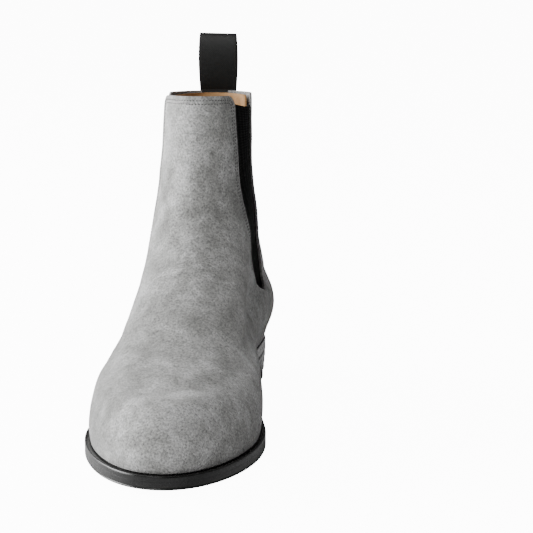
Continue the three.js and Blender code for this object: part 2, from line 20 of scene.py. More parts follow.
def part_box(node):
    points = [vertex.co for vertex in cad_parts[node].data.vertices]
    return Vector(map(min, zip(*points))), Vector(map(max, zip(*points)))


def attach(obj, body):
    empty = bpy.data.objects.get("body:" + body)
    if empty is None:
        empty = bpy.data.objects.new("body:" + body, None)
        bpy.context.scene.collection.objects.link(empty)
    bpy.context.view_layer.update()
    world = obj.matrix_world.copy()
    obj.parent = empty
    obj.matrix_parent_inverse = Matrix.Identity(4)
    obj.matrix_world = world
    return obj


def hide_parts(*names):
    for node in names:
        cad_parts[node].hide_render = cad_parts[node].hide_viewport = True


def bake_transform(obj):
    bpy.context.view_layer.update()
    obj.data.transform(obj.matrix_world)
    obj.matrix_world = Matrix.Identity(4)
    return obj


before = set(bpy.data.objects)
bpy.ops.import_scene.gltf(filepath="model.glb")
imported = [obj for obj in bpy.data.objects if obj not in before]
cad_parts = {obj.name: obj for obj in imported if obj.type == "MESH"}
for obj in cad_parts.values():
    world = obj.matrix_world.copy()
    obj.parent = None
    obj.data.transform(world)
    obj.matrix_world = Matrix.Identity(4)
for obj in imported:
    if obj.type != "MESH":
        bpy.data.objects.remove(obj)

LOG = logging.getLogger("chelsea_boot")
MM = 0.001
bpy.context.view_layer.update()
Array = np.ndarray
Colour = tuple[float, float, float]
Placer = Callable[[Array, Array], Array]


class Side(Enum):
    """The two sides of a right boot, as the sign of x."""

    MEDIAL = 1
    LATERAL = -1


class Joint(Enum):
    """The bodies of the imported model."""

    BOOT = "boot"
    FRONT = "shaft_front_panel"
    TAB = "pull_tab_loop"


# ---- Small maths ----------------------------------------------------------------------------------
def ease(value: Array, low: float, high: float) -> Array:
    """Rises evenly from 0 at low to 1 at high.

    Args:
        value: The places to read it at.
        low: Where it leaves 0.
        high: Where it reaches 1.

    Returns:
        The eased value at each place.
    """
    t = np.clip((value - low) / (high - low), 0, 1)
    return t * t * (3 - 2 * t)


class Curve:
    """A smooth curve through stations, each a position and one or more values."""

    def __init__(self, stations: Sequence[Sequence[float]]) -> None:
        """Fits the slopes at the stations.

        Args:
            stations: Rows of a position and its values.
        """
        rows = np.array(stations, float)
        self.t, self.v = rows[:, 0], rows[:, 1:]
        gap = np.diff(self.t)
        step = np.diff(self.v, axis=0) / gap[:, None]
        inner = (gap[1:, None] * step[:-1] + gap[:-1, None] * step[1:]) / (gap[1:] + gap[:-1])[:, None]
        self.slope = np.vstack([step[:1], inner, step[-1:]])

    def __call__(self, x: Array) -> Array:
        """Reads the curve.

        Args:
            x: The positions.

        Returns:
            The values there, one row of values for each position, or plain values if there is one.
        """
        at = np.clip(np.asarray(x, float), self.t[0], self.t[-1])
        i = np.clip(np.searchsorted(self.t, at) - 1, 0, len(self.t) - 2)
        w = (self.t[i + 1] - self.t[i])[..., None]
        u = (at - self.t[i])[..., None] / w
        rise = u * u * (3 - 2 * u) * (self.v[i + 1] - self.v[i])
        bend = (1 - u) ** 2 * u * w * self.slope[i] - u * u * (1 - u) * w * self.slope[i + 1]
        out = self.v[i] + rise + bend
        return out[..., 0] if out.shape[-1] == 1 else out


def by_length(points: Sequence[Sequence[float]]) -> Curve:
    """A smooth curve whose points are spaced by the distance between them, on 0 to 1.

    Args:
        points: The points it passes through.

    Returns:
        The curve.
    """
    p = np.array(points, float)
    run = np.concatenate([[0], np.cumsum(np.linalg.norm(np.diff(p, axis=0), axis=1))])
    return Curve(np.column_stack([run / run[-1], p]))


def wobble(points: Array, size: float, seed: float, octaves: int = 2) -> Array:
    """Soft noise at points of the station frame, about -1 to 1.

    Args:
        points: The points, mm.
        size: The breadth of a hump, mm.
        seed: Shifts the pattern.
        octaves: How many finer layers it has.

    Returns:
        The noise at each point.
    """
    shift = Vector((seed, 1.7 * seed, -0.6 * seed))
    return np.array([noise.fractal(Vector(p / size) + shift, 1.0, 2.0, octaves) for p in points])


# ---- The last: the outside of the upper --------------------------------------------------------------
@dataclass
class Last:
    """The foot shape that every piece of the boot follows. Sizes in mm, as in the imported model."""

    upper_length: float = 288
    heel_height: float = 18
    toe_spring: float = 3
    breast_at: float = 72
    ball_rear_at: float = 178
    ball_front_at: float = 212
    stack: float = 8.0
    heel_half: float = 32.2
    waist_medial: float = 29
    waist_lateral: float = 35.5
    ball_medial: float = 46
    ball_lateral: float = 52
    waist_at: float = 106
    ball_medial_at: float = 208
    ball_lateral_at: float = 190
    toe_shift: float = -1
    toe_cap: float = 132
    toe_bluntness: float = 2.02
    toe_box_high: float = 39
    vamp_high: float = 54.5
    vamp_from_toe: float = 80
    instep_high: float = 95
    instep_at: float = 141
    throat_high: float = 122
    throat_at: float = 122
    top_front_high: float = 182
    top_front_at: float = 112
    top_back_high: float = 175.5
    top_back_at: float = 7
    bulge: float = 4.4
    vamp_taper: float = 0.15
    box_cap: float = 158
    vamp_cap: float = 84
    instep_cap: float = 70
    shaft_cap: float = 53
    heel_cap: float = 36
    shaft_back_cap: float = 50
    ankle_bulge: float = 5.6
    ankle_medial: float = 30.3
    ankle_lateral: float = 32.2
    shaft_half: float = 26.4
    edge_front: float = 3
    edge_waist: float = 0.9
    edge_grows_from: float = 130
    edge_full_at: float = 190
    tab_root: float = 9.35

    def __post_init__(self) -> None:
        """Draws the profiles and plans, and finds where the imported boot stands."""
        low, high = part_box("pull_tab")
        self.off_x = 500 * (low.x + high.x)
        self.off_y = 500 * (low.y + high.y) + self.tab_root
        rear = float(self.seat(np.array(0.0)))
        top, at = self.top_back_high, self.top_back_at
        self.back_line = by_length([
            (3, float(self.seat(np.array(3.0)))), (0.5, rear + 12), (0, rear + 24), (3, rear + 48),
            (8.5, top - 73), (11, top - 51), (at + 2, top - 23), (at, top),
        ])
        long, vamp_at = self.upper_length, self.upper_length - self.vamp_from_toe
        box, vamp = self.toe_box_high, self.vamp_high
        self.front_line = by_length([
            (long - 2, float(self.seat(np.array(long - 2.0)))),
            (long, float(self.seat(np.array(float(long)))) + 8),
            (long - 3, box - 12), (long - 14, box), (long - 40, box + 0.35 * (vamp - box)),
            (vamp_at, vamp),
            ((vamp_at + self.instep_at) / 2, (vamp + self.instep_high) / 2 - 2.5),
            (self.instep_at, self.instep_high), (self.throat_at, self.throat_high),
            ((self.throat_at + self.top_front_at) / 2 - 1.5, (self.throat_high + self.top_front_high) / 2),
            (self.top_front_at, self.top_front_high),
        ])
        half = self.heel_half
        self.medial_width = Curve([
            (0, half), (40, half), (self.waist_at, self.waist_medial),
            ((self.waist_at + self.ball_medial_at) / 2, (self.waist_medial + self.ball_medial) / 2),
            (self.ball_medial_at, self.ball_medial), (long, self.ball_medial),
        ])
        self.lateral_width = Curve([
            (0, half), (40, half), (self.waist_at, self.waist_lateral),
            ((self.waist_at + self.ball_lateral_at) / 2, (self.waist_lateral + self.ball_lateral) / 2 + 1),
            (self.ball_lateral_at, self.ball_lateral), (long, self.ball_lateral - 2),
        ])
        self.front_cap = Curve([
            (0, self.toe_cap), (0.12, self.box_cap), (0.33, self.vamp_cap), (0.55, self.instep_cap),
            (0.75, self.shaft_cap + 6), (1, self.shaft_cap),
        ])
        self.back_cap = Curve([
            (0, self.heel_cap), (0.4, self.heel_cap + 4), (0.8, self.shaft_back_cap - 2),
            (1, self.shaft_back_cap),
        ])
        ankle, side, shaft = self.ankle_medial, self.ankle_lateral, self.shaft_half
        self.medial_shaft = Curve([(0, ankle), (0.3, ankle + 3), (0.55, ankle - 0.5), (0.8, shaft + 0.5),
                                   (1, shaft)])
        self.lateral_shaft = Curve([
            (0, side), (0.3, side + 1.5), (0.55, side - 0.5), (0.8, 0.6 * shaft + 0.4 * side), (1, shaft),
        ])

    def tread(self, s: Array) -> Array:
        """The height of the sole's underside over the ground at stations s."""
        spring = np.maximum(0, (s - self.ball_front_at) / (self.upper_length - self.ball_front_at))
        rise = self.heel_height * (1 - ease(s, self.breast_at, self.ball_rear_at))
        return rise + self.toe_spring * spring * spring

    def seat(self, s: Array) -> Array:
        """The height that the upper stands on at stations s."""
        return self.tread(s) + self.stack

    def edge(self, s: Array) -> Array:
        """How far the sole's edge stands out past the feather line at stations s."""
        return self.edge_waist + (self.edge_front - self.edge_waist) * ease(s, self.edge_grows_from,
                                                                            self.edge_full_at)

    @staticmethod
    def rounding(u: Array, power: Array) -> Array:
        """The rounding of a ring towards one of its ends, u being the distance from that end over the cap."""
        return np.clip(1 - (1 - np.clip(u, 0, 1)) ** 2, 0, 1) ** (1 / power)

    def skin(self, a: Array, h: Array) -> Array:
        """Points on the outside of the upper.

        Args:
            a: Ring angles.
            h: Relative heights.

        Returns:
            One row of x, s, z for each.
        """
        a, h = np.broadcast_arrays(np.asarray(a, float), np.asarray(h, float))
        back, front = self.back_line(h), self.front_line(h)
        along = (1 - np.cos(a)) / 2
        s = back[..., 0] + along * (front[..., 0] - back[..., 0])
        level = back[..., 1] + along * (front[..., 1] - back[..., 1])
        over = ((1 - along) * (back[..., 1] - self.seat(back[..., 0]))
                + along * (front[..., 1] - self.seat(front[..., 0])))
        rise = ease(h, 0, 0.6)
        z = (self.seat(s) + over) * (1 - rise) + level * rise
        medial = np.sin(a) >= 0
        full = self.bulge * np.sin(np.pi * np.clip(h / 0.3, 0, 1))
        plan = np.where(medial, self.medial_width(s), self.lateral_width(s))
        ankle = self.ankle_bulge * np.sin(np.pi * np.clip((h - 0.04) / 0.44, 0, 1)) * (1 - ease(s, 60, 125))
        foot = plan * (1 - self.vamp_taper * ease(h, 0.03, 0.28)) + full + np.where(medial, ankle, 0)
        shaft = np.where(medial, self.medial_shaft(h), self.lateral_shaft(h))
        climb = ease(h, 0.18, 0.72)
        blunt = 2 + (self.toe_bluntness - 2) * (1 - ease(h, 0, 0.35))
        fore = self.rounding((front[..., 0] - s) / self.front_cap(h), blunt)
        rear = self.rounding((s - back[..., 0]) / self.back_cap(h), np.array(2.2))
        half = (foot * (1 - climb) + shaft * climb) * fore * rear
        shift = self.toe_shift * ease(s, 0.5 * self.upper_length, self.upper_length)
        return np.stack([shift + np.where(medial, half, -half), s, z], -1)

    def normal(self, a: Array, h: Array) -> Array:
        """The outward unit normals of the skin at ring angles a and heights h."""
        a, h = np.broadcast_arrays(np.asarray(a, float), np.asarray(h, float))
        around = self.skin(a + 0.02, h) - self.skin(a - 0.02, h)
        up = self.skin(a, np.minimum(1, h + 0.004)) - self.skin(a, np.maximum(0, h - 0.004))
        n = np.cross(around, up)
        return n / np.linalg.norm(n, axis=-1, keepdims=True)

    def under(self, a: Array, h: Array, depth: Array) -> Array:
        """Points at a depth under the skin, never lower than the lasting margin of their own layer.

        Args:
            a: Ring angles.
            h: Relative heights.
            depth: Depths under the skin, mm.

        Returns:
            One row of x, s, z for each.
        """
        p = self.skin(a, h)
        moved = p - self.normal(a, h) * np.broadcast_to(np.asarray(depth, float), p.shape[:-1])[..., None]
        moved[..., 2] = np.maximum(moved[..., 2], self.seat(p[..., 1]) + depth)
        return moved

    def feather(self, a: Array, outwards: Array) -> Array:
        """The feather line seen from above, moved outwards.

        Args:
            a: Ring angles.
            outwards: How far it is moved, mm.

        Returns:
            One row of x, s for each.
        """
        a = np.asarray(a, float)
        zero = np.zeros_like(a)
        along = self.skin(a + 0.02, zero) - self.skin(a - 0.02, zero)
        along = along[..., :2] / np.linalg.norm(along[..., :2], axis=-1, keepdims=True)
        p = self.skin(a, zero)[..., :2]
        return p + np.stack([along[..., 1], -along[..., 0]], -1) * np.asarray(outwards)[..., None]

    def angle_at(self, s: Array, h: Array) -> Array:
        """The ring angle, on the medial side, of stations s at relative heights h."""
        back, front = self.back_line(h)[..., 0], self.front_line(h)[..., 0]
        return np.arccos(np.clip(1 - 2 * (s - back) / (front - back), -1, 1))

    def place(self, points: Array) -> Array:
        """Station-frame points, mm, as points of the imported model's frame, m."""
        return np.stack([points[..., 0] + self.off_x, self.off_y - points[..., 1], points[..., 2]], -1) * MM


LAST = Last()


# ---- Making meshes --------------------------------------------------------------------------------
def select_only(obj: bpy.types.Object) -> None:
    """Makes one object the only selected one and the active one."""
    bpy.ops.object.select_all(action="DESELECT")
    obj.select_set(True)
    bpy.context.view_layer.objects.active = obj


def grid_of(name: str, columns: int, rows: int, placer: Placer) -> bpy.types.Object:
    """Adds a grid and lays it on a shape.

    Args:
        name: The piece's name.
        columns: Cells along u.
        rows: Cells along v.
        placer: Gives station-frame points, mm, for arrays of u and v on 0 to 1.

    Returns:
        The new object, with u and v as its UV map, facing the side where v turned past u points.
    """
    bpy.ops.object.select_all(action="DESELECT")
    bpy.ops.mesh.primitive_grid_add(x_subdivisions=columns, y_subdivisions=rows, size=1, calc_uvs=True)
    obj = bpy.context.object
    obj.name = obj.data.name = name
    flat = np.zeros(len(obj.data.vertices) * 3)
    obj.data.vertices.foreach_get("co", flat)
    flat = flat.reshape(-1, 3)
    u, v = np.clip(flat[:, 0] + 0.5, 0, 1), np.clip(flat[:, 1] + 0.5, 0, 1)
    obj.data.vertices.foreach_set("co", LAST.place(placer(u, v)).ravel())
    obj.data.update()
    return obj


def edit(obj: bpy.types.Object, *steps: Callable[[], object]) -> bpy.types.Object:
    """Runs edit-mode operators over the whole of one mesh.

    Args:
        obj: The mesh object.
        steps: The operators, in order.

    Returns:
        The same object.
    """
    select_only(obj)
    bpy.ops.object.mode_set(mode="EDIT")
    bpy.ops.mesh.select_all(action="SELECT")
    for step in steps:
        step()
    bpy.ops.object.mode_set(mode="OBJECT")
    return obj


def volume(obj: bpy.types.Object) -> float:
    """The signed volume of a closed mesh, below 0 where it is inside out."""
    work = bmesh.new()
    work.from_mesh(obj.data)
    found = work.calc_volume(signed=True)
    work.free()
    return found


def closed(obj: bpy.types.Object) -> bpy.types.Object:
    """Merges a mesh's doubles and turns its faces outwards."""
    edit(obj, lambda: bpy.ops.mesh.remove_doubles(threshold=0.00001),
         lambda: bpy.ops.mesh.normals_make_consistent(inside=False))
    if volume(obj) < 0:
        edit(obj, bpy.ops.mesh.flip_normals)
    return obj


def face_out(obj: bpy.types.Object, outward: Vector) -> bpy.types.Object:
    """Turns an open sheet over if its faces look away from a direction.

    Args:
        obj: The sheet.
        outward: The way that its first face has to look.

    Returns:
        The same object.
    """
    if obj.data.polygons[0].normal.dot(outward) < 0:
        edit(obj, bpy.ops.mesh.flip_normals)
    return obj


def modify(obj: bpy.types.Object, kind: str, **settings: object) -> None:
    """Adds a modifier, sets it and applies it.

    Args:
        obj: The object.
        kind: The modifier's type.
        settings: Its settings by name.
    """
    select_only(obj)
    added = obj.modifiers.new(kind.lower(), kind)
    for key, value in settings.items():
        setattr(added, key, value)
    bpy.ops.object.modifier_apply(modifier=added.name)


def thicken(obj: bpy.types.Object, thick: float, soft: float, rim: int = 0, where: float = -1.0) -> None:
    """Gives an open sheet its thickness, and softens its cut edges.

    Args:
        obj: The sheet, facing outwards.
        thick: The thickness, mm.
        soft: The rounding of the cut edges, mm.
        rim: How many material slots further the rim's faces are.
        where: -1 to grow inwards, 0 for both ways.
    """
    modify(obj, "SOLIDIFY", thickness=thick * MM, offset=where, use_even_offset=True,
           use_quality_normals=True, material_offset_rim=rim)
    if soft > 0:
        modify(obj, "BEVEL", width=soft * MM, segments=2, limit_method="ANGLE", angle_limit=math.radians(55))


def smooth(obj: bpy.types.Object, angle: float = 40) -> bpy.types.Object:
    """Shades a mesh smooth, but for edges sharper than an angle in degrees."""
    select_only(obj)
    bpy.ops.object.shade_smooth_by_angle(angle=math.radians(angle))
    return obj


def dress(obj: bpy.types.Object, slot: str, *materials: bpy.types.Material) -> bpy.types.Object:
    """Gives a piece its materials."""
    obj.data.materials.clear()
    for material in materials:
        obj.data.materials.append(material)
    return obj


# ---- Node groups ------------------------------------------------------------------------------------
class Nodes:
    """A short hand for wiring one node tree."""

    def __init__(self, tree: bpy.types.NodeTree) -> None:
        """Starts with the tree to wire."""
        self.tree = tree

    def add(self, kind: str, **settings: object) -> bpy.types.Node:
        """Adds a node; a setting whose name is an input's index, as in i0, sets or links that input.

        Args:
            kind: The node type without ShaderNode.
            settings: Properties by name, and inputs as i and their index or as in_ and their name.

        Returns:
            The node.
        """
        full = kind if kind.startswith("Node") else f"ShaderNode{kind}"
        node = self.tree.nodes.new(full)
        for key, value in settings.items():
            if key.startswith("in_"):
                self.put(node.inputs[key[3:].replace("_", " ")], value)
            elif key[0] == "i" and key[1:].isdigit():
                self.put(node.inputs[int(key[1:])], value)
            else:
                setattr(node, key, value)
        return node

    def put(self, socket: bpy.types.NodeSocket, value: object) -> None:
        """Links a socket if the value is one, else sets it."""
        if isinstance(value, bpy.types.NodeSocket):
            self.tree.links.new(value, socket)
        else:
            socket.default_value = value

    def math(self, kind: str, a: object, b: object = 0.0) -> bpy.types.NodeSocket:
        """A math node's output."""
        return self.add("Math", operation=kind, i0=a, i1=b).outputs[0]

    def ramp(self, value: object, low: float, high: float, to_low: float = 0.0,
             to_high: float = 1.0) -> bpy.types.NodeSocket:
        """A clamped map from one range to another."""
        node = self.add("MapRange", clamp=True, i0=value, i1=low, i2=high, i3=to_low, i4=to_high)
        return node.outputs[0]

    def blend(self, share: object, a: object, b: object, how: str = "MIX") -> bpy.types.NodeSocket:
        """A colour mix's output."""
        node = self.add("Mix", data_type="RGBA", blend_type=how)
        self.put(node.inputs[0], share)
        self.put(node.inputs[6], a)
        self.put(node.inputs[7], b)
        return node.outputs[2]

    def noise(self, place: object, scale: float, detail: float = 3.0, rough: float = 0.55,
              bend: float = 0.0) -> bpy.types.NodeSocket:
        """A noise texture's value."""
        node = self.add("TexNoise", in_Scale=scale, in_Detail=detail, in_Roughness=rough, in_Distortion=bend)
        self.put(node.inputs["Vector"], place)
        return node.outputs[0]


def group(name: str, inputs: Sequence[tuple[str, str, object]], outputs: Sequence[tuple[str, str]],
          wire: Callable[[Nodes, bpy.types.Node], Sequence[bpy.types.NodeSocket]]) -> bpy.types.NodeTree:
    """Builds a shader node group once.

    Args:
        name: Its name.
        inputs: Name, socket type and starting value of each input.
        outputs: Name and socket type of each output.
        wire: Wires the inside from the group's input node, and gives the sockets for the outputs.

    Returns:
        The group's tree.
    """
    tree = bpy.data.node_groups.new(name, "ShaderNodeTree")
    for label, kind, start in inputs:
        made = tree.interface.new_socket(label, in_out="INPUT", socket_type=kind)
        if start is not None:
            made.default_value = start
    for label, kind in outputs:
        tree.interface.new_socket(label, in_out="OUTPUT", socket_type=kind)
    nodes = Nodes(tree)
    entry = nodes.add("NodeGroupInput")
    leave = nodes.add("NodeGroupOutput")
    for socket, made in zip(leave.inputs, wire(nodes, entry)):
        tree.links.new(made, socket)
    return tree


FLOAT, COLOUR, VECTOR = "NodeSocketFloat", "NodeSocketColor", "NodeSocketVector"


def wire_nap(n: Nodes, entry: bpy.types.Node) -> Sequence[bpy.types.NodeSocket]:
    """Brushed suede: broad mottling, brushed patches, fibre clumps and the fibres themselves."""
    place, base, light, dark, clump = (entry.outputs[i] for i in range(5))
    broad = n.noise(place, 22.0, 2.0, 0.5, 0.3)
    patch = n.noise(place, 88.0, 4.0, 0.62, 0.5)
    pebble = n.noise(place, clump, 3.0, 0.62)
    fibre = n.noise(place, 2600.0, 2.0, 0.7)
    tone = n.math("ADD", n.math("MULTIPLY", broad, 0.45), n.math("MULTIPLY", patch, 0.55))
    colour = n.blend(n.ramp(tone, 0.37, 0.5, 1.0, 0.0), base, dark)
    colour = n.blend(n.ramp(tone, 0.5, 0.63, 0.0, 1.0), colour, light)
    grain = n.math("ADD", n.math("MULTIPLY", pebble, 0.66), n.math("MULTIPLY", fibre, 0.34))
    shade = n.ramp(grain, 0.37, 0.63, 0.52, 1.46)
    colour = n.blend(1.0, colour, n.add("CombineColor", i0=shade, i1=shade, i2=shade).outputs[0], "MULTIPLY")
    height = n.math("ADD", n.math("MULTIPLY", pebble, 0.75), n.math("MULTIPLY", fibre, 0.35))
    return colour, height, n.ramp(grain, 0.3, 0.7, 1.0, 0.88)


def wire_weave(n: Nodes, entry: bpy.types.Node) -> Sequence[bpy.types.NodeSocket]:
    """Webbing: fine diagonal twill on a piece's own UV map, given in metres."""
    place, base, light = (entry.outputs[i] for i in range(3))
    yarn = n.add("TexWave", wave_type="BANDS", bands_direction="DIAGONAL", wave_profile="SIN",
                 in_Scale=520.0, in_Distortion=0.4, in_Detail=1.0)
    n.put(yarn.inputs["Vector"], place)
    weft = n.add("TexWave", wave_type="BANDS", bands_direction="Y", wave_profile="SIN", in_Scale=700.0)
    n.put(weft.inputs["Vector"], place)
    height = n.math("ADD", n.math("MULTIPLY", yarn.outputs[1], 0.7), n.math("MULTIPLY", weft.outputs[1], 0.3))
    drift = n.noise(place, 140.0, 3.0, 0.6)
    colour = n.blend(n.math("MULTIPLY", n.ramp(height, 0.2, 0.9), n.ramp(drift, 0.3, 0.7, 0.5, 1.0)), base, light)
    return colour, height, n.ramp(height, 0.2, 0.9, 0.62, 0.46)


def wire_hide(n: Nodes, entry: bpy.types.Node) -> Sequence[bpy.types.NodeSocket]:
    """Smooth leather: pebbled grain, pores, soft creases and uneven dye."""
    place, base, dark, scale = (entry.outputs[i] for i in range(4))
    cells = n.add("TexVoronoi", feature="DISTANCE_TO_EDGE")
    n.put(cells.inputs["Vector"], place)
    n.put(cells.inputs["Scale"], scale)
    pebble = n.ramp(cells.outputs[0], 0.0, 0.16)
    crease = n.noise(place, 55.0, 4.0, 0.6, 1.5)
    dye = n.noise(place, 95.0, 4.0, 0.6)
    colour = n.blend(n.ramp(dye, 0.4, 0.72), base, dark)
    colour = n.blend(n.ramp(pebble, 0.0, 0.6, 0.35, 0.0), colour, dark)
    height = n.math("ADD", n.math("MULTIPLY", pebble, 0.5), n.math("MULTIPLY", crease, 1.2))
    return colour, height, n.ramp(crease, 0.35, 0.65, 0.62, 0.5)


def wire_edge(n: Nodes, entry: bpy.types.Node) -> Sequence[bpy.types.NodeSocket]:
    """A waxed, burnished edge: faint fibre lines under the wax and small dull scuffs."""
    place, base, light = (entry.outputs[i] for i in range(3))
    flat = n.add("Mapping", in_Scale=(1.0, 1.0, 9.0))
    n.put(flat.inputs["Vector"], place)
    lines = n.noise(flat.outputs[0], 90.0, 5.0, 0.6)
    scuff = n.noise(place, 240.0, 3.0, 0.65, 0.8)
    colour = n.blend(n.ramp(n.math("MULTIPLY", lines, scuff), 0.25, 0.42), base, light)
    return colour, lines, n.ramp(scuff, 0.4, 0.7, 0.27, 0.42)


def wire_crumb(n: Nodes, entry: bpy.types.Node) -> Sequence[bpy.types.NodeSocket]:
    """A pressed or foamed filling: crumbs of two colours and small pits."""
    place, base, dark, scale = (entry.outputs[i] for i in range(4))
    cells = n.add("TexVoronoi", feature="F1")
    n.put(cells.inputs["Vector"], place)
    n.put(cells.inputs["Scale"], scale)
    pick = n.add("SeparateColor", i0=cells.outputs["Color"]).outputs[0]
    colour = n.blend(n.ramp(pick, 0.2, 0.9), base, dark)
    return colour, cells.outputs["Distance"], n.ramp(pick, 0.0, 1.0, 0.8, 0.95)


class Effect(Enum):
    """The surface effects that the finishes share."""

    NAP = "brushed_nap"
    WEAVE = "twill_weave"
    HIDE = "leather_grain"
    EDGE = "waxed_edge"
    CRUMB = "crumb"


def build_effects() -> dict[Effect, bpy.types.NodeTree]:
    """Builds every effect's node group once.

    Returns:
        The group of each effect.
    """
    out = [("Colour", COLOUR), ("Height", FLOAT), ("Roughness", FLOAT)]
    two = [("Place", VECTOR, None), ("Base", COLOUR, None), ("Second", COLOUR, None)]
    return {
        Effect.NAP: group(Effect.NAP.value, [*two, ("Third", COLOUR, None), ("Scale", FLOAT, 720.0)], out, wire_nap),
        Effect.WEAVE: group(Effect.WEAVE.value, two, out, wire_weave),
        Effect.HIDE: group(Effect.HIDE.value, [*two, ("Scale", FLOAT, 900.0)], out, wire_hide),
        Effect.EDGE: group(Effect.EDGE.value, two, out, wire_edge),
        Effect.CRUMB: group(Effect.CRUMB.value, [*two, ("Scale", FLOAT, 400.0)], out, wire_crumb),
    }


@dataclass(frozen=True)
class Finish:
    """One finish of the boot: an effect with its own colours, and the shader's uniform values."""

    name: str
    effect: Effect
    base: Colour
    second: Colour
    third: Optional[Colour] = None
    scale: Optional[float] = None
    bump: float = 0.00015
    strength: float = 1.0
    metallic: float = 0.0
    specular: float = 0.5
    sheen: float = 0.0
    sheen_roughness: float = 0.5
    sheen_tint: Colour = (1.0, 1.0, 1.0)
    coat: float = 0.0
    coat_roughness: float = 0.2
    on_uv: bool = False

    def build(self, effects: dict[Effect, bpy.types.NodeTree]) -> bpy.types.Material:
        """Makes the material.

        Args:
            effects: The built node groups.

        Returns:
            The material.
        """
        material = bpy.data.materials.new(self.name)
        material.use_nodes = True
        material.node_tree.nodes.clear()
        n = Nodes(material.node_tree)
        place = n.add("TexCoord").outputs["UV" if self.on_uv else "Object"]
        made = n.add("Group", node_tree=effects[self.effect])
        n.put(made.inputs["Place"], place)
        made.inputs["Base"].default_value = (*self.base, 1)
        made.inputs["Second"].default_value = (*self.second, 1)
        if self.third:
            made.inputs["Third"].default_value = (*self.third, 1)
        if self.scale:
            made.inputs["Scale"].default_value = self.scale
        shader = n.add("BsdfPrincipled", in_Metallic=self.metallic)
        shader.inputs["Specular IOR Level"].default_value = self.specular
        shader.inputs["Sheen Weight"].default_value = self.sheen
        shader.inputs["Sheen Roughness"].default_value = self.sheen_roughness
        shader.inputs["Sheen Tint"].default_value = (*self.sheen_tint, 1)
        shader.inputs["Coat Weight"].default_value = self.coat
        shader.inputs["Coat Roughness"].default_value = self.coat_roughness
        n.put(shader.inputs["Base Color"], made.outputs["Colour"])
        n.put(shader.inputs["Roughness"], made.outputs["Roughness"])
        bump = n.add("Bump", in_Strength=self.strength, in_Distance=self.bump, in_Height=made.outputs["Height"])
        n.put(shader.inputs["Normal"], bump.outputs[0])
        n.put(n.add("OutputMaterial").inputs[0], shader.outputs[0])
        return material


FINISHES = [
    Finish("grey_suede", Effect.NAP, (0.365, 0.365, 0.357), (0.54, 0.54, 0.536), (0.24, 0.24, 0.232), 880.0,
           0.00038, 1.0, specular=0.1, sheen=0.5, sheen_roughness=0.4),
    Finish("cut_suede", Effect.NAP, (0.33, 0.33, 0.322), (0.44, 0.44, 0.435), (0.24, 0.24, 0.23), 1400.0,
           0.0003, 1.0, specular=0.1, sheen=0.2),
    # Stitches: a dark grey that is partly the stitches' own colour and partly painted shade, darkened to stand for the
    # shaded needle holes round each bead.
    Finish("thread_and_hole_shade", Effect.EDGE, (0.06, 0.06, 0.058), (0.10, 0.10, 0.097), bump=0.00005, specular=0.3),
    Finish("elastic", Effect.WEAVE, (0.003, 0.0032, 0.003), (0.008, 0.0083, 0.008), bump=0.00012,
           specular=0.08, on_uv=True),
    Finish("webbing", Effect.WEAVE, (0.005, 0.0052, 0.005), (0.013, 0.0134, 0.0128), bump=0.00008,
           specular=0.45, sheen=0.06, sheen_roughness=0.35, on_uv=True),
    Finish("tan_lining", Effect.HIDE, (0.56, 0.33, 0.15), (0.36, 0.18, 0.065), scale=1000.0,
           bump=0.00012, specular=0.35),
    Finish("tan_sock", Effect.HIDE, (0.50, 0.29, 0.13), (0.34, 0.175, 0.07), scale=1200.0,
           bump=0.0001, specular=0.35),
    Finish("stiffener", Effect.CRUMB, (0.66, 0.62, 0.53), (0.55, 0.5, 0.41), scale=1500.0),
    Finish("board", Effect.CRUMB, (0.33, 0.2, 0.1), (0.22, 0.13, 0.065), scale=900.0),
    Finish("foam", Effect.CRUMB, (0.74, 0.7, 0.6), (0.66, 0.61, 0.5), scale=1600.0, bump=0.0003),
    Finish("cork", Effect.CRUMB, (0.38, 0.2, 0.085), (0.17, 0.08, 0.032), scale=420.0, bump=0.0004),
    Finish("steel", Effect.EDGE, (0.42, 0.43, 0.44), (0.55, 0.56, 0.57), metallic=1.0, bump=0.00002),
    Finish("waxed_edge", Effect.EDGE, (0.006, 0.006, 0.006), (0.014, 0.014, 0.0135), bump=0.00006,
           specular=0.35, coat=0.25, coat_roughness=0.26),
    Finish("sole_leather", Effect.HIDE, (0.012, 0.0105, 0.009), (0.006, 0.005, 0.0045), scale=700.0,
           bump=0.0001, specular=0.4),
    Finish("rubber", Effect.HIDE, (0.011, 0.011, 0.0108), (0.007, 0.007, 0.007), scale=1500.0,
           bump=0.00008, specular=0.35),
]


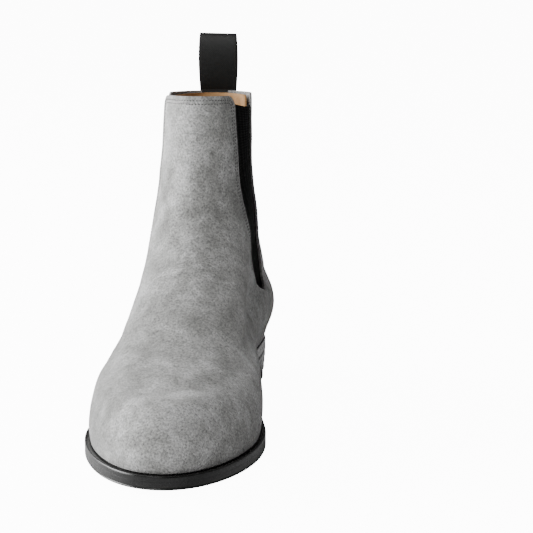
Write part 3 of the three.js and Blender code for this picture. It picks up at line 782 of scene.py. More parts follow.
# ---- The upper --------------------------------------------------------------------------------------
@dataclass
class Pattern:
    """Where the upper is cut: the edges that face each other across the side seam and the gore, mm."""

    seam_at: float = 64
    gap: float = 0.3
    gore_foot: float = 0.24
    gore_rise: float = 0.12
    gore_foot_half: float = 14
    gore_middle: float = 0.6
    gore_middle_front_at: float = 91
    gore_middle_back_at: float = 43
    gore_top_front_at: float = 95
    gore_top_back_at: float = 42
    gore_tuck: float = 4
    suede: float = 1.4
    stiffener: float = 1.3
    lining: float = 1.0
    margin: float = 12
    lateral_back: float = 6
    front_corner: float = 7
    back_corner: float = 4

    def edge_at(self, h: Array, side: int) -> Array:
        """The station of a panel's edge.

        Args:
            h: Relative heights.
            side: 1 for the front panel, -1 for the back one.

        Returns:
            The stations.
        """
        top = self.gore_top_front_at if side > 0 else self.gore_top_back_at
        middle = self.gore_middle_front_at if side > 0 else self.gore_middle_back_at
        foot, rise, small = self.gore_foot, self.gore_rise, side * self.gap / 2
        swell = side * self.gore_foot_half
        heights = [0, foot, foot + 0.25 * rise, foot + 0.6 * rise, foot + rise, self.gore_middle, 1]
        stations = [
            self.seam_at + 2 + small, self.seam_at + small, self.seam_at + 0.5 * swell, self.seam_at + 0.84 * swell,
            self.seam_at + swell, middle, top,
        ]
        above = Curve(list(zip(heights[1:], stations[1:])))(h)
        return np.where(h < foot, np.interp(h, heights[:2], stations[:2]), above)

    @property
    def layer_two(self) -> float:
        """The depth of the layer of the gores, stiffeners and webbing ends."""
        return self.suede + self.gap

    @property
    def layer_three(self) -> float:
        """The depth of the lining."""
        return self.layer_two + self.stiffener + self.gap


CUT = Pattern()
SAMPLES = 181


class Panel:
    """A piece of the upper between two ring angles at each height, spaced evenly over the skin."""

    def __init__(self, front: bool, corner: float, top: float = 1.0, depth: float = 0.0) -> None:
        """Works out the panel's rows.

        Args:
            front: True for the front panel, False for the back one.
            corner: The radius of its top corners, mm.
            top: The relative height of its top edge.
            depth: How deep it lies under the skin, mm.
        """
        self.front, self.corner, self.top, self.depth = front, corner, top, depth
        side = 1 if front else -1
        self.heights = np.linspace(0, top, 241)
        edge = LAST.angle_at(CUT.edge_at(self.heights, side), self.heights)
        lateral = LAST.angle_at(
            CUT.edge_at(self.heights, side) - CUT.lateral_back * ease(self.heights, 0.5, 0.9), self.heights)
        start, end = (edge, 2 * np.pi - lateral) if front else (-edge, edge)
        share = np.linspace(0, 1, SAMPLES)
        angles = start[:, None] + (end - start)[:, None] * share[None]
        points = LAST.skin(angles, self.heights[:, None])
        steps = np.linalg.norm(np.diff(points, axis=1), axis=2)
        self.run = np.concatenate([np.zeros((len(steps), 1)), np.cumsum(steps, axis=1)], axis=1)
        self.angles = angles
        climb = np.linalg.norm(np.diff(points[:, 8], axis=0), axis=1)
        self.climb = np.concatenate([[0], np.cumsum(climb)])

    def below_top(self, h: Array) -> Array:
        """How far heights h are below the top edge, mm."""
        return self.climb[-1] - np.interp(h, self.heights, self.climb)

    def inset(self, h: Array) -> Array:
        """How far the rounded corner takes the side edges in at heights h, mm."""
        r = self.corner
        if r <= 0:
            return np.zeros_like(h)
        down = np.clip(r - self.below_top(h), 0, r)
        return r - np.sqrt(np.maximum(r * r - down * down, 0))

    def angle(self, h: Array, share: Array, offset: Array = 0.0) -> Array:
        """Ring angles at shares of the way across.

        Args:
            h: Relative heights.
            share: 0 at one side edge, 1 at the other.
            offset: A distance from the side edges, mm.

        Returns:
            The ring angles.
        """
        row = np.interp(h, self.heights, np.arange(len(self.heights)))
        low = np.clip(row.astype(int), 0, len(self.heights) - 2)
        part = (row - low)[:, None]
        run = self.run[low] * (1 - part) + self.run[low + 1] * part
        angles = self.angles[low] * (1 - part) + self.angles[low + 1] * part
        take = self.inset(h) + offset
        target = take + share * (run[:, -1] - 2 * take)
        out = np.empty_like(target)
        for i in range(len(target)):
            out[i] = np.interp(target[i], run[i], angles[i])
        return out

    def heights_for(self, v: Array) -> Array:
        """Relative heights for rows v on 0 to 1, closer together under the rounded top corners."""
        r = self.corner
        total = self.climb[-1]
        if r <= 0:
            return np.interp(v * total, self.climb, self.heights)
        bend = 0.1
        low = np.minimum(v / (1 - bend), 1) * (total - r)
        turn = np.clip((v - (1 - bend)) / bend, 0, 1) * np.pi / 2
        return np.interp(low + r * np.sin(turn), self.climb, self.heights)


def suede_relief(points: Array) -> Array:
    """How far the lasted suede stands off the last: soft hollows and the flex of a tried-on boot, mm."""
    return 0.45 * wobble(points, 34, 3.1) + 0.22 * wobble(points, 13, 8.4)


@dataclass
class Upper:
    """The suede panels, their linings and their stitching."""

    columns: int = 176
    rows: int = 140
    margin_rows: int = 5
    stitch_pitch: float = 1.9
    stitch_rows: tuple[float, float] = (2.4, 4.3)
    pieces: list[bpy.types.Object] = field(default_factory=list)

    def sheet(self, name: str, panel: Panel, columns: int, rows: int, relief: float) -> bpy.types.Object:
        """Lays one open sheet of a panel on the skin, with its lasting margin turned in.

        Args:
            name: The piece's name.
            panel: The panel.
            columns: Cells across.
            rows: Cells up.
            relief: How much of the suede's relief it has.

        Returns:
            The open sheet, facing outwards.
        """
        turned = self.margin_rows / rows

        def placer(u: Array, v: Array) -> Array:
            """Rows under the turned share make the lasting margin."""
            rise = np.clip((v - turned) / (1 - turned), 0, 1)
            h = panel.heights_for(rise)
            a = panel.angle(h, u)
            p = LAST.under(a, h, panel.depth)
            if relief > 0:
                fade = ease(h, 0.0, 0.06) * (1 - 0.75 * ease(h, 0.85, 1.0))
                p = p + LAST.normal(a, h) * (relief * fade * suede_relief(p))[:, None]
            inwards = (1 - np.clip(v / turned, 0, 1)) * CUT.margin
            low = LAST.feather(a, -panel.depth - inwards)
            flat = np.column_stack([low, LAST.seat(low[:, 1]) + panel.depth])
            return np.where((v < turned - 1e-6)[:, None], flat, p)

        obj = grid_of(name, columns, rows, placer)
        probe = obj.data.polygons[len(obj.data.polygons) // 2]
        away = Vector((probe.center.x, 0.0, 0.0)) if not panel.front else Vector((0, -0.4, 1.0))
        if probe.normal.dot(away) < 0:
            edit(obj, bpy.ops.mesh.flip_normals)
        return obj

    def build(self, finish: dict[str, bpy.types.Material]) -> None:
        """Makes the two suede panels, the two linings and the stitches.

        Args:
            finish: The materials by name.
        """
        front, back = Panel(True, CUT.front_corner), Panel(False, CUT.back_corner)
        suede = self.sheet("suede_front_panel", front, self.columns, self.rows, 1.0)
        dress(suede, "suede", finish["grey_suede"], finish["cut_suede"])
        thicken(suede, CUT.suede, 0.35, rim=1)
        smooth(suede)
        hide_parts("vamp", "shaft_front")
        bend_front(suede)
        quarter = self.sheet("suede_back_quarter", back, 150, 120, 1.0)
        dress(quarter, "suede", finish["grey_suede"], finish["cut_suede"])
        thicken(quarter, CUT.suede, 0.35, rim=1)
        smooth(quarter)
        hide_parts("back_quarter")
        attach(quarter, Joint.BOOT.value)
        inner = Panel(True, CUT.front_corner + 1, 0.991, CUT.layer_three)
        lining = self.sheet("front_lining", inner, 96, 90, 0.0)
        dress(lining, "lining", finish["tan_lining"], finish["tan_lining"])
        thicken(lining, CUT.lining, 0.25)
        smooth(lining)
        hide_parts("vamp_lining", "shaft_front_lining")
        bend_front(lining)
        inner = Panel(False, CUT.back_corner + 1, 0.991, CUT.layer_three)
        lining = self.sheet("quarter_lining_leather", inner, 84, 80, 0.0)
        dress(lining, "lining", finish["tan_lining"], finish["tan_lining"])
        thicken(lining, CUT.lining, 0.25)
        smooth(lining)
        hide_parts("quarter_lining")
        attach(lining, Joint.BOOT.value)
        thread_and_hole_shade = self.stitches("front_panel_stitches", front, finish)
        bend_front(thread_and_hole_shade)
        thread_and_hole_shade = self.stitches("back_quarter_stitches", back, finish)
        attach(thread_and_hole_shade, Joint.BOOT.value)

    def outline(self, panel: Panel, inset: float) -> tuple[Array, Array]:
        """The line that a stitch row follows: up one side, round the corner, along the top and down.

        Args:
            panel: The panel.
            inset: How far the row is from the cut edge, mm.

        Returns:
            The ring angles and heights along it.
        """
        total = panel.climb[-1]
        foot = float(np.interp(CUT.gore_foot + CUT.gore_rise, panel.heights, panel.climb))
        corner = max(panel.corner - inset, 0.5)
        ups = np.linspace(foot + inset, total - inset - corner, 160)
        turn = np.linspace(0, np.pi / 2, 24)
        climbs = np.concatenate([ups, total - inset - corner + corner * np.sin(turn)])
        across = np.concatenate([np.full(160, inset), inset + corner * (1 - np.cos(turn))])
        h = np.interp(climbs, panel.climb, panel.heights)
        width = np.array([np.interp(x, panel.heights, panel.run[:, -1]) for x in h])
        plain = Panel.angle(PlainEdge(panel), h, across / width)
        top_h = np.full(160, h[-1])
        share = np.linspace(across[-1] / width[-1], 1 - across[-1] / width[-1], 160)
        top = Panel.angle(PlainEdge(panel), top_h, share)
        other = Panel.angle(PlainEdge(panel), h[::-1], 1 - (across / width)[::-1])
        return np.concatenate([plain, top, other]), np.concatenate([h, top_h, h[::-1]])

    def stitches(self, name: str, panel: Panel, finish: dict[str, bpy.types.Material]) -> bpy.types.Object:
        """Sews two rows of stitches inside a panel's cut edge.

        Args:
            name: The piece's name.
            panel: The panel.
            finish: The materials by name.

        Returns:
            All its stitches as one mesh.
        """
        points, aims, ups = [], [], []
        for inset in self.stitch_rows:
            a, h = self.outline(panel, inset)
            p = LAST.skin(a, h)
            fade = ease(h, 0.0, 0.06) * (1 - 0.75 * ease(h, 0.85, 1.0))
            n = LAST.normal(a, h)
            p = p + n * (fade * suede_relief(p))[:, None]
            run = np.concatenate([[0], np.cumsum(np.linalg.norm(np.diff(p, axis=0), axis=1))])
            count = int(run[-1] / self.stitch_pitch)
            at = (np.arange(count) + 0.5) * self.stitch_pitch
            spot = np.column_stack([np.interp(at, run, p[:, k]) for k in range(3)])
            ahead = np.column_stack([np.interp(at + 0.3, run, p[:, k]) for k in range(3)])
            normal = np.column_stack([np.interp(at, run, n[:, k]) for k in range(3)])
            points.append(spot)
            aims.append(ahead - spot)
            ups.append(normal)
        # The stitches' dark grey is partly painted shade of the needle holes.
        return beads(name, np.vstack(points), np.vstack(aims), np.vstack(ups), finish["thread_and_hole_shade"])


class PlainEdge:
    """A panel read without its rounded corners, for lines that have their own."""

    def __init__(self, panel: Panel) -> None:
        """Borrows the panel's rows."""
        self.heights, self.run, self.angles = panel.heights, panel.run, panel.angles

    @staticmethod
    def inset(h: Array) -> Array:
        """No inset at any height."""
        return np.zeros_like(h)


def beads(name: str, spots: Array, aims: Array, ups: Array, material: bpy.types.Material) -> bpy.types.Object:
    """Copies one thread bead to many places.

    Args:
        name: The piece's name.
        spots: Station-frame places, mm.
        aims: The way each bead runs.
        ups: The way out of the surface.
        material: The stitches' material, a dark grey that is partly the stitches' own colour and partly painted shade
            of the needle holes round them.

    Returns:
        One mesh of all beads.
    """
    bpy.ops.object.select_all(action="DESELECT")
    bpy.ops.mesh.primitive_uv_sphere_add(segments=6, ring_count=5, radius=1)
    bead = bpy.context.object
    edit(bead, lambda: bpy.ops.transform.resize(value=(0.68 * MM, 0.27 * MM, 0.2 * MM)))
    unit = np.zeros(len(bead.data.vertices) * 3)
    bead.data.vertices.foreach_get("co", unit)
    unit = unit.reshape(-1, 3)
    faces = [list(p.vertices) for p in bead.data.polygons]
    place = LAST.place(spots)
    forward = np.column_stack([aims[:, 0], -aims[:, 1], aims[:, 2]])
    out = np.column_stack([ups[:, 0], -ups[:, 1], ups[:, 2]])
    forward /= np.linalg.norm(forward, axis=1, keepdims=True)
    out -= forward * np.sum(out * forward, axis=1, keepdims=True)
    out /= np.linalg.norm(out, axis=1, keepdims=True)
    side = np.cross(out, forward)
    every, polys = [], []
    for k in range(len(place)):
        every.append(place[k] + out[k] * 0.05 * MM + unit @ np.stack([forward[k], side[k], out[k]]))
        polys += [[i + k * len(unit) for i in f] for f in faces]
    mesh = bpy.data.meshes.new(name)
    mesh.from_pydata(np.vstack(every).tolist(), [], polys)
    bpy.data.objects.remove(bead)
    obj = bpy.data.objects.new(name, mesh)
    bpy.context.scene.collection.objects.link(obj)
    mesh.materials.append(material)
    smooth(obj, 80)
    return obj


def bend_front(obj: bpy.types.Object) -> None:
    """Bakes the transform of a piece of the front panel into its mesh."""
    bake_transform(obj)


# ---- The gores --------------------------------------------------------------------------------------
@dataclass
class Gores:
    """The ribbed elastic between the panels, on both sides.

    flat and cut_area are its own greatest width, longest edge and area on the last, without the ribs.
    """

    columns: int = 168
    rows: int = 56
    rib_pitch: float = 1.15
    rib_high: float = 0.16
    top_h: float = 0.962
    top_climb: float = 0.022
    flat: tuple[float, float] = (0.0615, 0.1308)
    cut_area: float = 0.00598
    foot_tuck: float = 0.012
    hinge_station: float = 38.0
    stretch_run: float = 0.0473
    stretch_rise: float = 0.0198

    def build(self, side: Side, finish: dict[str, bpy.types.Material]) -> bpy.types.Object:
        """Makes one gore.

        Args:
            side: Which side of the boot it is on.
            finish: The materials by name.

        Returns:
            The gore.
        """
        low = CUT.gore_foot - self.foot_tuck

        def placer(u: Array, v: Array) -> Array:
            """u from the back edge to the front one, v from the foot up."""
            h = low + (self.top_h + self.top_climb * u - low) * v
            rear = CUT.edge_at(h, -1) - CUT.gore_tuck
            front = CUT.edge_at(h, 1) + CUT.gore_tuck
            station = rear + (front - rear) * u
            dip = 0.006 * (1 - (2 * u - 1) ** 2) * ease(v, 0.9, 1.0)
            h = h - dip
            a = LAST.angle_at(station, h)
            a = a if side is Side.MEDIAL else 2 * np.pi - a
            fade = ease(u, 0.0, 0.08) * (1 - ease(u, 0.92, 1.0))
            rib = self.rib_high * np.cos(2 * np.pi * station / self.rib_pitch) * fade
            return LAST.under(a, h, CUT.layer_two + 0.15 - rib)

        obj = grid_of(f"elastic_gore_{side.name.lower()}", self.columns, self.rows, placer)
        face_out(obj, Vector((side.value, 0, 0)))
        scale_uv(obj, *self.flat)
        dress(obj, "elastic", finish["elastic"], finish["elastic"])
        thicken(obj, 1.0, 0.0)
        smooth(obj, 60)
        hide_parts(f"gore_{side.name.lower()}")
        top = np.array([1.0])
        rear = LAST.place(LAST.skin(LAST.angle_at(np.array([self.hinge_station]), top), top))[0]
        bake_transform(obj)
        return obj


def scale_uv(obj: bpy.types.Object, wide: float, long: float) -> None:
    """Gives a 0 to 1 UV map a piece's real size, in metres."""
    layer = obj.data.uv_layers[0].data
    flat = np.zeros(len(layer) * 2)
    layer.foreach_get("uv", flat)
    flat[0::2] *= wide
    flat[1::2] *= long
    layer.foreach_set("uv", flat)


# ---- The pull tab -----------------------------------------------------------------------------------
@dataclass
class PullTab:
    """One length of webbing, doubled into a loop and sewn in at the back seam."""

    width: float = 22.5
    high: float = 35
    loop: float = 9.6
    thick: float = 0.9
    end_length: float = 12
    root_z: float = 176.1
    fullest: float = 0.74
    foot: float = 0.35
    offset: float = 1.8

    def ply(self, count: int = 30) -> Array:
        """The middle line of the webbing: up one ply, over the top and down the other.

        Args:
            count: Points in each straight stretch.

        Returns:
            Rows of offset from the root, mm towards the heel's back, and height.
        """
        half = self.thick / 2 + 0.04
        turn = np.linspace(0, 2 * np.pi, 8 * count + 1)[1:-1]
        share = (1 - np.cos(turn)) / 2
        side = np.sign(np.sin(turn))
        most = self.loop / 2 - self.thick / 2
        wide = ((most / self.fullest) * 2 * np.sqrt(share * (1 - share))
                * (self.foot + (1 - self.foot) * share))
        wide = np.maximum(wide, half * (1 - ease(share, 0.9, 0.97)))
        loop = np.column_stack([side * wide, self.root_z + (self.high - self.thick / 2) * share])
        down = np.linspace(self.root_z - self.end_length, self.root_z, count)[:-1]
        first = np.column_stack([np.full_like(down, half), down])
        return np.vstack([first, loop, first[::-1] * (-1, 1)])

    def build(self, finish: dict[str, bpy.types.Material]) -> bpy.types.Object:
        """Makes the loop with its sewn ends.

        Args:
            finish: The materials by name.

        Returns:
            The webbing.
        """
        path = self.ply()
        run = np.concatenate([[0], np.cumsum(np.linalg.norm(np.diff(path, axis=0), axis=1))])
        depth = CUT.layer_two + CUT.stiffener / 2

        def placer(u: Array, v: Array) -> Array:
            """u across the webbing, v along it."""
            off = np.interp(v * run[-1], run, path[:, 0])
            z = np.interp(v * run[-1], run, path[:, 1])
            x = (u - 0.5) * self.width
            h = np.interp(np.minimum(z, LAST.top_back_high), *self.back_heights())
            rear = LAST.back_line(h)[:, 0]
            curve = 0.0036 * x * x * (1 - ease(z, self.root_z - 2, self.root_z + 16))
            slope = (rear - LAST.top_back_at)
            belly = 0.5 * np.sin(np.pi * np.clip((z - self.root_z) / self.high, 0, 1)) * (x / self.width) * 2
            lean = -0.02 * x * ease(z, self.root_z + 20, self.root_z + self.high)
            return np.column_stack([x + self.offset + 1.2 * belly,
                                    LAST.top_back_at + depth + slope + off + curve, z + lean])

        obj = grid_of("pull_tab_webbing", 26, 300, placer)
        scale_uv(obj, self.width * MM, run[-1] * MM)
        dress(obj, "webbing", finish["webbing"], finish["webbing"])
        thicken(obj, self.thick, 0.2, where=0.0)
        smooth(obj, 50)
        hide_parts("pull_tab", "pull_tab_end")
        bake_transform(obj)
        LOG.info("webbing cut length %.1f mm", run[-1])
        return obj

    @staticmethod
    def back_heights() -> tuple[Array, Array]:
        """Heights over the ground along the back line, and their relative heights."""
        h = np.linspace(0.8, 1, 41)
        return LAST.back_line(h)[:, 1], h


# ---- The bottom -------------------------------------------------------------------------------------
Profile = Sequence[tuple[float, float]]


def fill_ring(name: str, outline: Callable[[Array, Array], Array], levels: Profile,
              low: Callable[[Array], Array], high: Callable[[Array], Array], count: int = 320, inner: int = 14,
              centre: Callable[[Array], Array] = lambda p: np.zeros(len(p))) -> bpy.types.Object:
    """Makes a closed plate whose rim follows a profile.

    Args:
        name: The piece's name.
        outline: Gives plan points x, s for turns on 0 to 1 and a push outwards, mm.
        levels: The rim from top to bottom: a push outwards, mm, and a height, 0 low to 1 high.
        low: The underside's height at stations.
        high: The top's height at stations.
        count: Cells around.
        inner: Cells from the middle to the rim.
        centre: The x of the middle line at plan points.

    Returns:
        The closed plate.
    """
    rim = np.array(levels, float)
    total = 2 * inner + len(rim) - 1

    def placer(u: Array, v: Array) -> Array:
        """v runs out over the top, down the rim and in under the bottom."""
        row = v * total
        i = np.clip(row - inner, 0, len(rim) - 1)
        push = np.interp(i, np.arange(len(rim)), rim[:, 0])
        level = np.interp(i, np.arange(len(rim)), rim[:, 1])
        share = np.clip(np.minimum(row, total - row) / inner, 0, 1)
        p = outline(u, push)
        x0 = centre(p)
        x = x0 + (p[:, 0] - x0) * share
        bottom, top = low(p[:, 1]), high(p[:, 1])
        return np.column_stack([x, p[:, 1], bottom + (top - bottom) * level])

    return closed(grid_of(name, count, total, placer))


def rounded_rim(push: float, high: float, radius: float, steps: int = 4) -> Profile:
    """A plain rim with its two corners rounded.

    Args:
        push: How far the rim stands out, mm.
        high: The plate's thickness, mm.
        radius: The corners' radius, mm.
        steps: Cells in each corner.

    Returns:
        The profile from top to bottom.
    """
    turn = np.linspace(0, math.pi / 2, steps + 1)
    top = [(push - radius + radius * math.sin(t), 1 - (radius - radius * math.cos(t)) / high) for t in turn]
    return [*top, *[(x, 1 - y) for x, y in reversed(top)]]


@dataclass
class Bottom:
    """The welt, heel rand, outsole and stacked heel."""

    welt_thick: float = 3.0
    outsole_thick: float = 4.4
    gap: float = 0.3
    welt_inset: float = 8
    lifts: int = 3
    top_piece: float = 6
    heel_taper: float = 1.6
    breast_hollow: float = 2.2

    def welt_section(self, s: Array) -> list[tuple[Array, Array]]:
        """The welt's section: a shallow groove at the feather line, a thin bead and a rounded edge.

        Args:
            s: The stations.

        Returns:
            Points of push outwards and height over the welt's underside, all round.
        """
        out, t = LAST.edge(s), self.welt_thick
        wide = np.clip(out / LAST.edge_front, 0, 1)
        low = -self.gap + 0.04
        return [
            (-self.welt_inset + 0 * s, 0 * s), (0 * s - 1, 0 * s), (out - 0.5, low + 0 * s),
            (out - 0.03, low + 0.02 + 0 * s), (out + 0 * s, 0.2 + 0 * s), (out + 0.02, 1.0 + 0 * s),
            (out + 0.02, 1.8 + 0 * s), (out - 0.06 * wide, t - 0.62 + 0 * s), (out - 0.24 * wide, t - 0.26 + 0 * s),
            (out - 0.6 * wide, t - 0.08 + 0 * s), (out - 1.0 * wide, t - 0.12 * wide),
            (out - 1.6 * wide, t - 0.24 * wide), (out - 2.2 * wide, t - 0.36 * wide),
            (out - 2.8 * wide, t - 0.5 * wide), (out - 3.2 * wide - 0.1, t - 0.6 * wide),
            (out - 3.6 * wide - 0.6, t + 0 * s), (-self.welt_inset + 0 * s, t + 0 * s),
        ]

    def strip(self, name: str, start: float, end: float, count: int) -> bpy.types.Object:
        """Runs the welt's section round the feather line.

        Args:
            name: The piece's name.
            start: The first ring angle.
            end: The last ring angle.
            count: Cells along.

        Returns:
            The closed strip.
        """
        size = len(self.welt_section(np.array([0.0])))
        angles = np.linspace(start, end, 1401)
        plan = LAST.feather(angles, np.full(1401, 2.0))
        run = np.concatenate([[0], np.cumsum(np.linalg.norm(np.diff(plan, axis=0), axis=1))])

        def placer(u: Array, v: Array) -> Array:
            """u along the strip, v round its section; the ends close onto the section's middle."""
            along = np.clip((u * (count + 2) - 1) / count, 0, 1)
            a = np.interp(along * run[-1], run, angles)
            s = LAST.skin(a, np.zeros_like(a))[:, 1]
            rows = self.welt_section(s)
            k = np.rint(v * size).astype(int) % size
            push = np.stack([r[0] for r in rows])[k, np.arange(len(k))]
            up = np.stack([r[1] for r in rows])[k, np.arange(len(k))]
            tip = (u * (count + 2) < 0.5) | (u * (count + 2) > count + 1.5)
            push = np.where(tip, 0.5 * (LAST.edge(s) - self.welt_inset), push)
            up = np.where(tip, self.welt_thick / 2, up)
            p = LAST.feather(a, push)
            return np.column_stack([p, LAST.seat(s) - self.gap - self.welt_thick + up])

        return closed(grid_of(name, count + 2, size, placer))

    def feather_loop(self, turn: Array, push: Array) -> Array:
        """Plan points all round the boot for turns on 0 to 1."""
        a = np.interp(turn, np.linspace(0, 1, len(self._loop)), self._loop)
        s = LAST.skin(a, np.zeros_like(a))[:, 1]
        return LAST.feather(a, LAST.edge(s) + push)

    def heel_loop(self, turn: Array, push: Array) -> Array:
        """Plan points round the heel: the seat's curve and the hollowed breast."""
        end = float(LAST.angle_at(np.array(LAST.breast_at), np.array(0.0)))
        share = np.clip(turn / 0.8, 0, 1)
        a = -end + 2 * end * share
        p = LAST.feather(a, LAST.edge_waist + push)
        p[:, 1] = np.minimum(p[:, 1], LAST.breast_at)
        across = np.clip((turn - 0.8) / 0.2, 0, 1)
        ends = LAST.feather(np.array([end, -end]), np.full(2, float(LAST.edge_waist)))
        x = ends[0, 0] + (ends[1, 0] - ends[0, 0]) * across
        x = x + push * (1 - 2 * across)
        line = np.column_stack([x, LAST.breast_at - self.breast_hollow * np.sin(np.pi * across)])
        return np.where((turn > 0.8)[:, None], line, p)

    def build(self, finish: dict[str, bpy.types.Material]) -> None:
        """Makes every piece of the bottom.

        Args:
            finish: The materials by name.
        """
        angles = np.linspace(0, 2 * np.pi, 1441)
        plan = LAST.feather(angles, np.full(1441, 2.0))
        run = np.concatenate([[0], np.cumsum(np.linalg.norm(np.diff(plan, axis=0), axis=1))])
        self._loop = np.interp(np.linspace(0, run[-1], 1441), run, angles)
        breast = float(LAST.angle_at(np.array(LAST.breast_at), np.array(0.0)))
        rear = float(LAST.angle_at(np.array(LAST.breast_at - self.gap), np.array(0.0)))
        welt = self.strip("welt_strip", breast, 2 * np.pi - breast, 300)
        rand = self.strip("heel_rand_strip", -rear, rear, 110)
        for obj, node in ((welt, "welt"), (rand, "heel_rand")):
            self.fit(obj, "edge", finish["waxed_edge"], node, 30)
        top = LAST.seat
        low = self.outsole_thick
        shape = [
            (-0.3, 1.0), (-0.05, 0.99), (0.0, 0.94), (0.0, 0.84), (0.0, 0.72), (0.0, 0.6), (0.0, 0.48), (0.0, 0.38),
            (-0.06, 0.33), (-0.28, 0.29), (-0.3, 0.25), (-0.1, 0.21), (0.02, 0.17), (0.0, 0.1), (-0.15, 0.03),
            (-0.6, 0.0),
        ]
        sole = fill_ring("outsole_plate", self.feather_loop, shape, LAST.tread,
                         lambda s: top(s) - 2 * self.gap - self.welt_thick, 420, 16)
        self.fit(sole, "leather", finish["waxed_edge"], "outsole", 35)
        lift = (LAST.heel_height - self.top_piece - (self.lifts + 1) * self.gap) / self.lifts
        for k in range(self.lifts):
            foot = self.top_piece + self.gap + k * (lift + self.gap)
            taper = -self.heel_taper * (LAST.heel_height - foot - lift / 2) / LAST.heel_height
            block = fill_ring(f"stacked_heel_lift_{k + 1}", self.heel_loop, rounded_rim(taper, lift, 0.28, 3),
                              lambda s, z=foot: np.full_like(s, z), lambda s, z=foot + lift: np.full_like(s, z), 200, 8)
            self.fit(block, "leather", finish["waxed_edge"], f"heel_lift_{k + 1}", 40)
        block = fill_ring("rubber_top_piece", self.heel_loop, rounded_rim(-self.heel_taper, self.top_piece, 0.7, 4),
                          lambda s: np.zeros_like(s), lambda s: np.full_like(s, self.top_piece), 200, 8)
        self.fit(block, "rubber", finish["rubber"], "heel_top_piece", 40)

    @staticmethod
    def fit(obj: bpy.types.Object, slot: str, material: bpy.types.Material, node: str, angle: float) -> None:
        """Finishes one bottom piece and lets it ride on the boot."""
        dress(obj, slot, material)
        smooth(obj, angle)
        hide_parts(node)
        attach(obj, Joint.BOOT.value)


@dataclass
class Insole:
    """The foam heel pad and the leather sock over it."""

    board_low: float = 4.6
    board: float = 2.4
    gap: float = 0.3
    pad: float = 3
    pad_start: float = 9
    pad_length: float = 62
    sock: float = 1.2
    ramp: float = 14
    inset: float = 5.2

    def board_top(self, s: Array) -> Array:
        """The height of the insole board's upper face at stations s."""
        return LAST.seat(s) + self.board_low + self.board

    def sock_low(self, s: Array) -> Array:
        """The height of the sock's underside at stations s."""
        end = self.pad_start + self.pad_length + 2
        return self.board_top(s) + self.gap + (self.pad + self.gap) * (1 - ease(s, end, end + self.ramp))

    def outline(self, turn: Array, push: Array) -> Array:
        """Plan points round the sock."""
        return LAST.feather(2 * np.pi * turn, -self.inset + push)

    def pad_outline(self, turn: Array, push: Array) -> Array:
        """Plan points round the heel pad: the heel's curve with a rounded front."""
        a = 2 * np.pi * turn
        middle, half = self.pad_start + self.pad_length / 2, self.pad_length / 2
        s = middle - (half + push) * np.cos(a)
        inner = LAST.feather(LAST.angle_at(s, np.zeros_like(s)), np.full_like(s, -self.inset - 4))[:, 0]
        x = np.sign(np.sin(a)) * np.minimum(np.abs(inner), (23 + push) * np.abs(np.sin(a)) ** 0.6)
        return np.column_stack([x, s])

    def build(self, finish: dict[str, bpy.types.Material]) -> None:
        """Makes the pad and the sock.

        Args:
            finish: The materials by name.
        """
        pad = fill_ring("foam_heel_pad", self.pad_outline, rounded_rim(0, self.pad, 1.2, 4),
                        lambda s: self.board_top(s) + self.gap,
                        lambda s: self.board_top(s) + self.gap + self.pad, 120, 10)
        dress(pad, "foam", finish["foam"])
        smooth(pad, 60)
        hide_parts("heel_pad")
        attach(pad, Joint.BOOT.value)
        sock = fill_ring("leather_sock", self.outline, rounded_rim(0, self.sock, 0.4, 3), self.sock_low,
                         lambda s: self.sock_low(s) + self.sock, 260, 16)
        dress(sock, "sock", finish["tan_sock"])
        smooth(sock, 50)
        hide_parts("sock_liner")
        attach(sock, Joint.BOOT.value)


HIDDEN_FINISH = {
    "toe_puff": "stiffener", "heel_counter": "stiffener", "insole_board": "board", "shank": "steel",
    "cork_filler": "cork",
    "heel_nail_1": "steel", "heel_nail_2": "steel", "heel_nail_3": "steel", "heel_nail_4": "steel",
    "heel_nail_5": "steel",
}


def dress_hidden(finish: dict[str, bpy.types.Material]) -> None:
    """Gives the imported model's own pieces their materials."""
    for name, key in HIDDEN_FINISH.items():
        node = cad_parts[name]
        if not node.material_slots:
            node.data.materials.append(finish[key])
        for slot in node.material_slots:
            slot.material = finish[key]
        LOG.info("dressed %s", name)


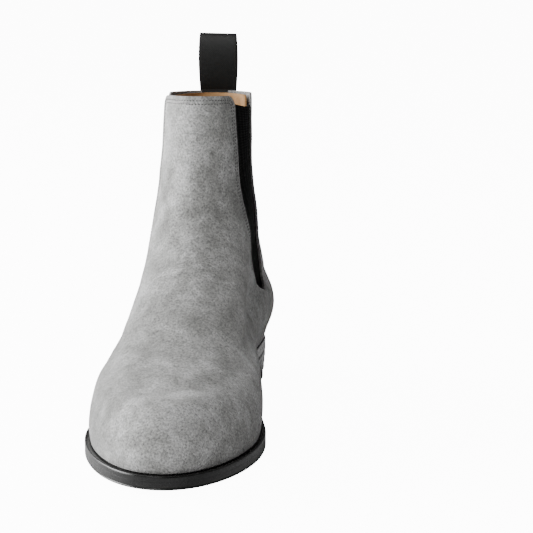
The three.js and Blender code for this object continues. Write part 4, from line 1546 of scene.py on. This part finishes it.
# ---- The studio -------------------------------------------------------------------------------------
@dataclass
class Studio:
    """A pale floor, soft lights and the camera."""

    lens: float = 132.25
    camera_at: tuple[float, float, float] = (0.1201, -1.0740, 0.2917)
    turn: float = 0.073
    pitch: float = 0.185

    def camera(self) -> None:
        """Sets the camera up."""
        data = bpy.data.cameras.new("camera")
        data.lens = self.lens
        obj = bpy.data.objects.new("camera", data)
        bpy.context.scene.collection.objects.link(obj)
        look = Vector((-math.sin(self.turn) * math.cos(self.pitch), math.cos(self.turn) * math.cos(self.pitch),
                       -math.sin(self.pitch)))
        turned = look.to_track_quat("-Z", "Y").to_matrix().to_4x4()
        place = Vector(self.camera_at) + Vector((LAST.off_x * MM, 0, 0))
        obj.matrix_world = Matrix.Translation(place) @ turned
        bpy.context.scene.camera = obj

    def light(self, name: str, place: Sequence[float], size: tuple[float, float], power: float) -> None:
        """Adds a soft light that looks at the boot's middle.

        Args:
            name: Its name.
            place: Where it stands, m.
            size: Its width and height, m.
            power: Its power, W.
        """
        data = bpy.data.lights.new(name, "AREA")
        data.shape = "RECTANGLE"
        data.size, data.size_y, data.energy = size[0], size[1], power
        obj = bpy.data.objects.new(name, data)
        bpy.context.scene.collection.objects.link(obj)
        aim = Vector((0, 0, 0.09)) - Vector(place)
        obj.matrix_world = Matrix.Translation(place) @ aim.to_track_quat("-Z", "Y").to_matrix().to_4x4()

    def build(self) -> None:
        """Lays the floor and sets the lights and camera."""
        bpy.ops.object.select_all(action="DESELECT")
        bpy.ops.mesh.primitive_plane_add(size=14, location=(0, 0, -0.0004))
        floor = bpy.context.object
        floor.name = "studio_floor"
        material = bpy.data.materials.new("studio_white")
        material.use_nodes = True
        shader = material.node_tree.nodes["Principled BSDF"]
        shader.inputs["Base Color"].default_value = (0.8, 0.8, 0.8, 1)
        shader.inputs["Roughness"].default_value = 0.9
        shader.inputs["Emission Color"].default_value = (1, 1, 1, 1)
        paper = Nodes(material.node_tree)
        seen = paper.math("MULTIPLY", paper.add("LightPath").outputs["Is Camera Ray"], 12.0)
        paper.put(shader.inputs["Emission Strength"], seen)
        floor.data.materials.append(material)
        world = bpy.data.worlds.new("studio_air")
        bpy.context.scene.world = world
        world.use_nodes = True
        n = Nodes(world.node_tree)
        back = world.node_tree.nodes["Background"]
        back.inputs[0].default_value = (1, 1, 1, 1)
        back.inputs[1].default_value = 0.09
        bright = n.add("Background", in_Color=(1, 1, 1, 1), in_Strength=14.0)
        mix = n.add("MixShader", i0=n.add("LightPath").outputs["Is Camera Ray"], i1=back.outputs[0],
                    i2=bright.outputs[0])
        n.put(world.node_tree.nodes["World Output"].inputs[0], mix.outputs[0])
        self.light("key_left", (-1.45, 0.35, 0.45), (1.2, 1.2), 62)
        self.light("top_soft", (-0.5, -1.0, 1.2), (0.7, 0.7), 16)
        self.light("fill_front", (-0.5, -2.0, 0.6), (0.8, 0.8), 1.5)
        self.camera()


def main() -> None:
    """Builds the boot piece by piece."""
    logging.basicConfig(level=logging.INFO, format="%(message)s")
    effects = build_effects()
    finish = {f.name: f.build(effects) for f in FINISHES}
    dress_hidden(finish)
    Bottom().build(finish)
    LOG.info("bottom built")
    Insole().build(finish)
    LOG.info("insole built")
    Upper().build(finish)
    LOG.info("upper built")
    for side in Side:
        Gores().build(side, finish)
        LOG.info("gore %s built", side.name.lower())
    PullTab().build(finish)
    LOG.info("pull tab built")
    Studio().build()


if __name__ == "__main__":
    main()
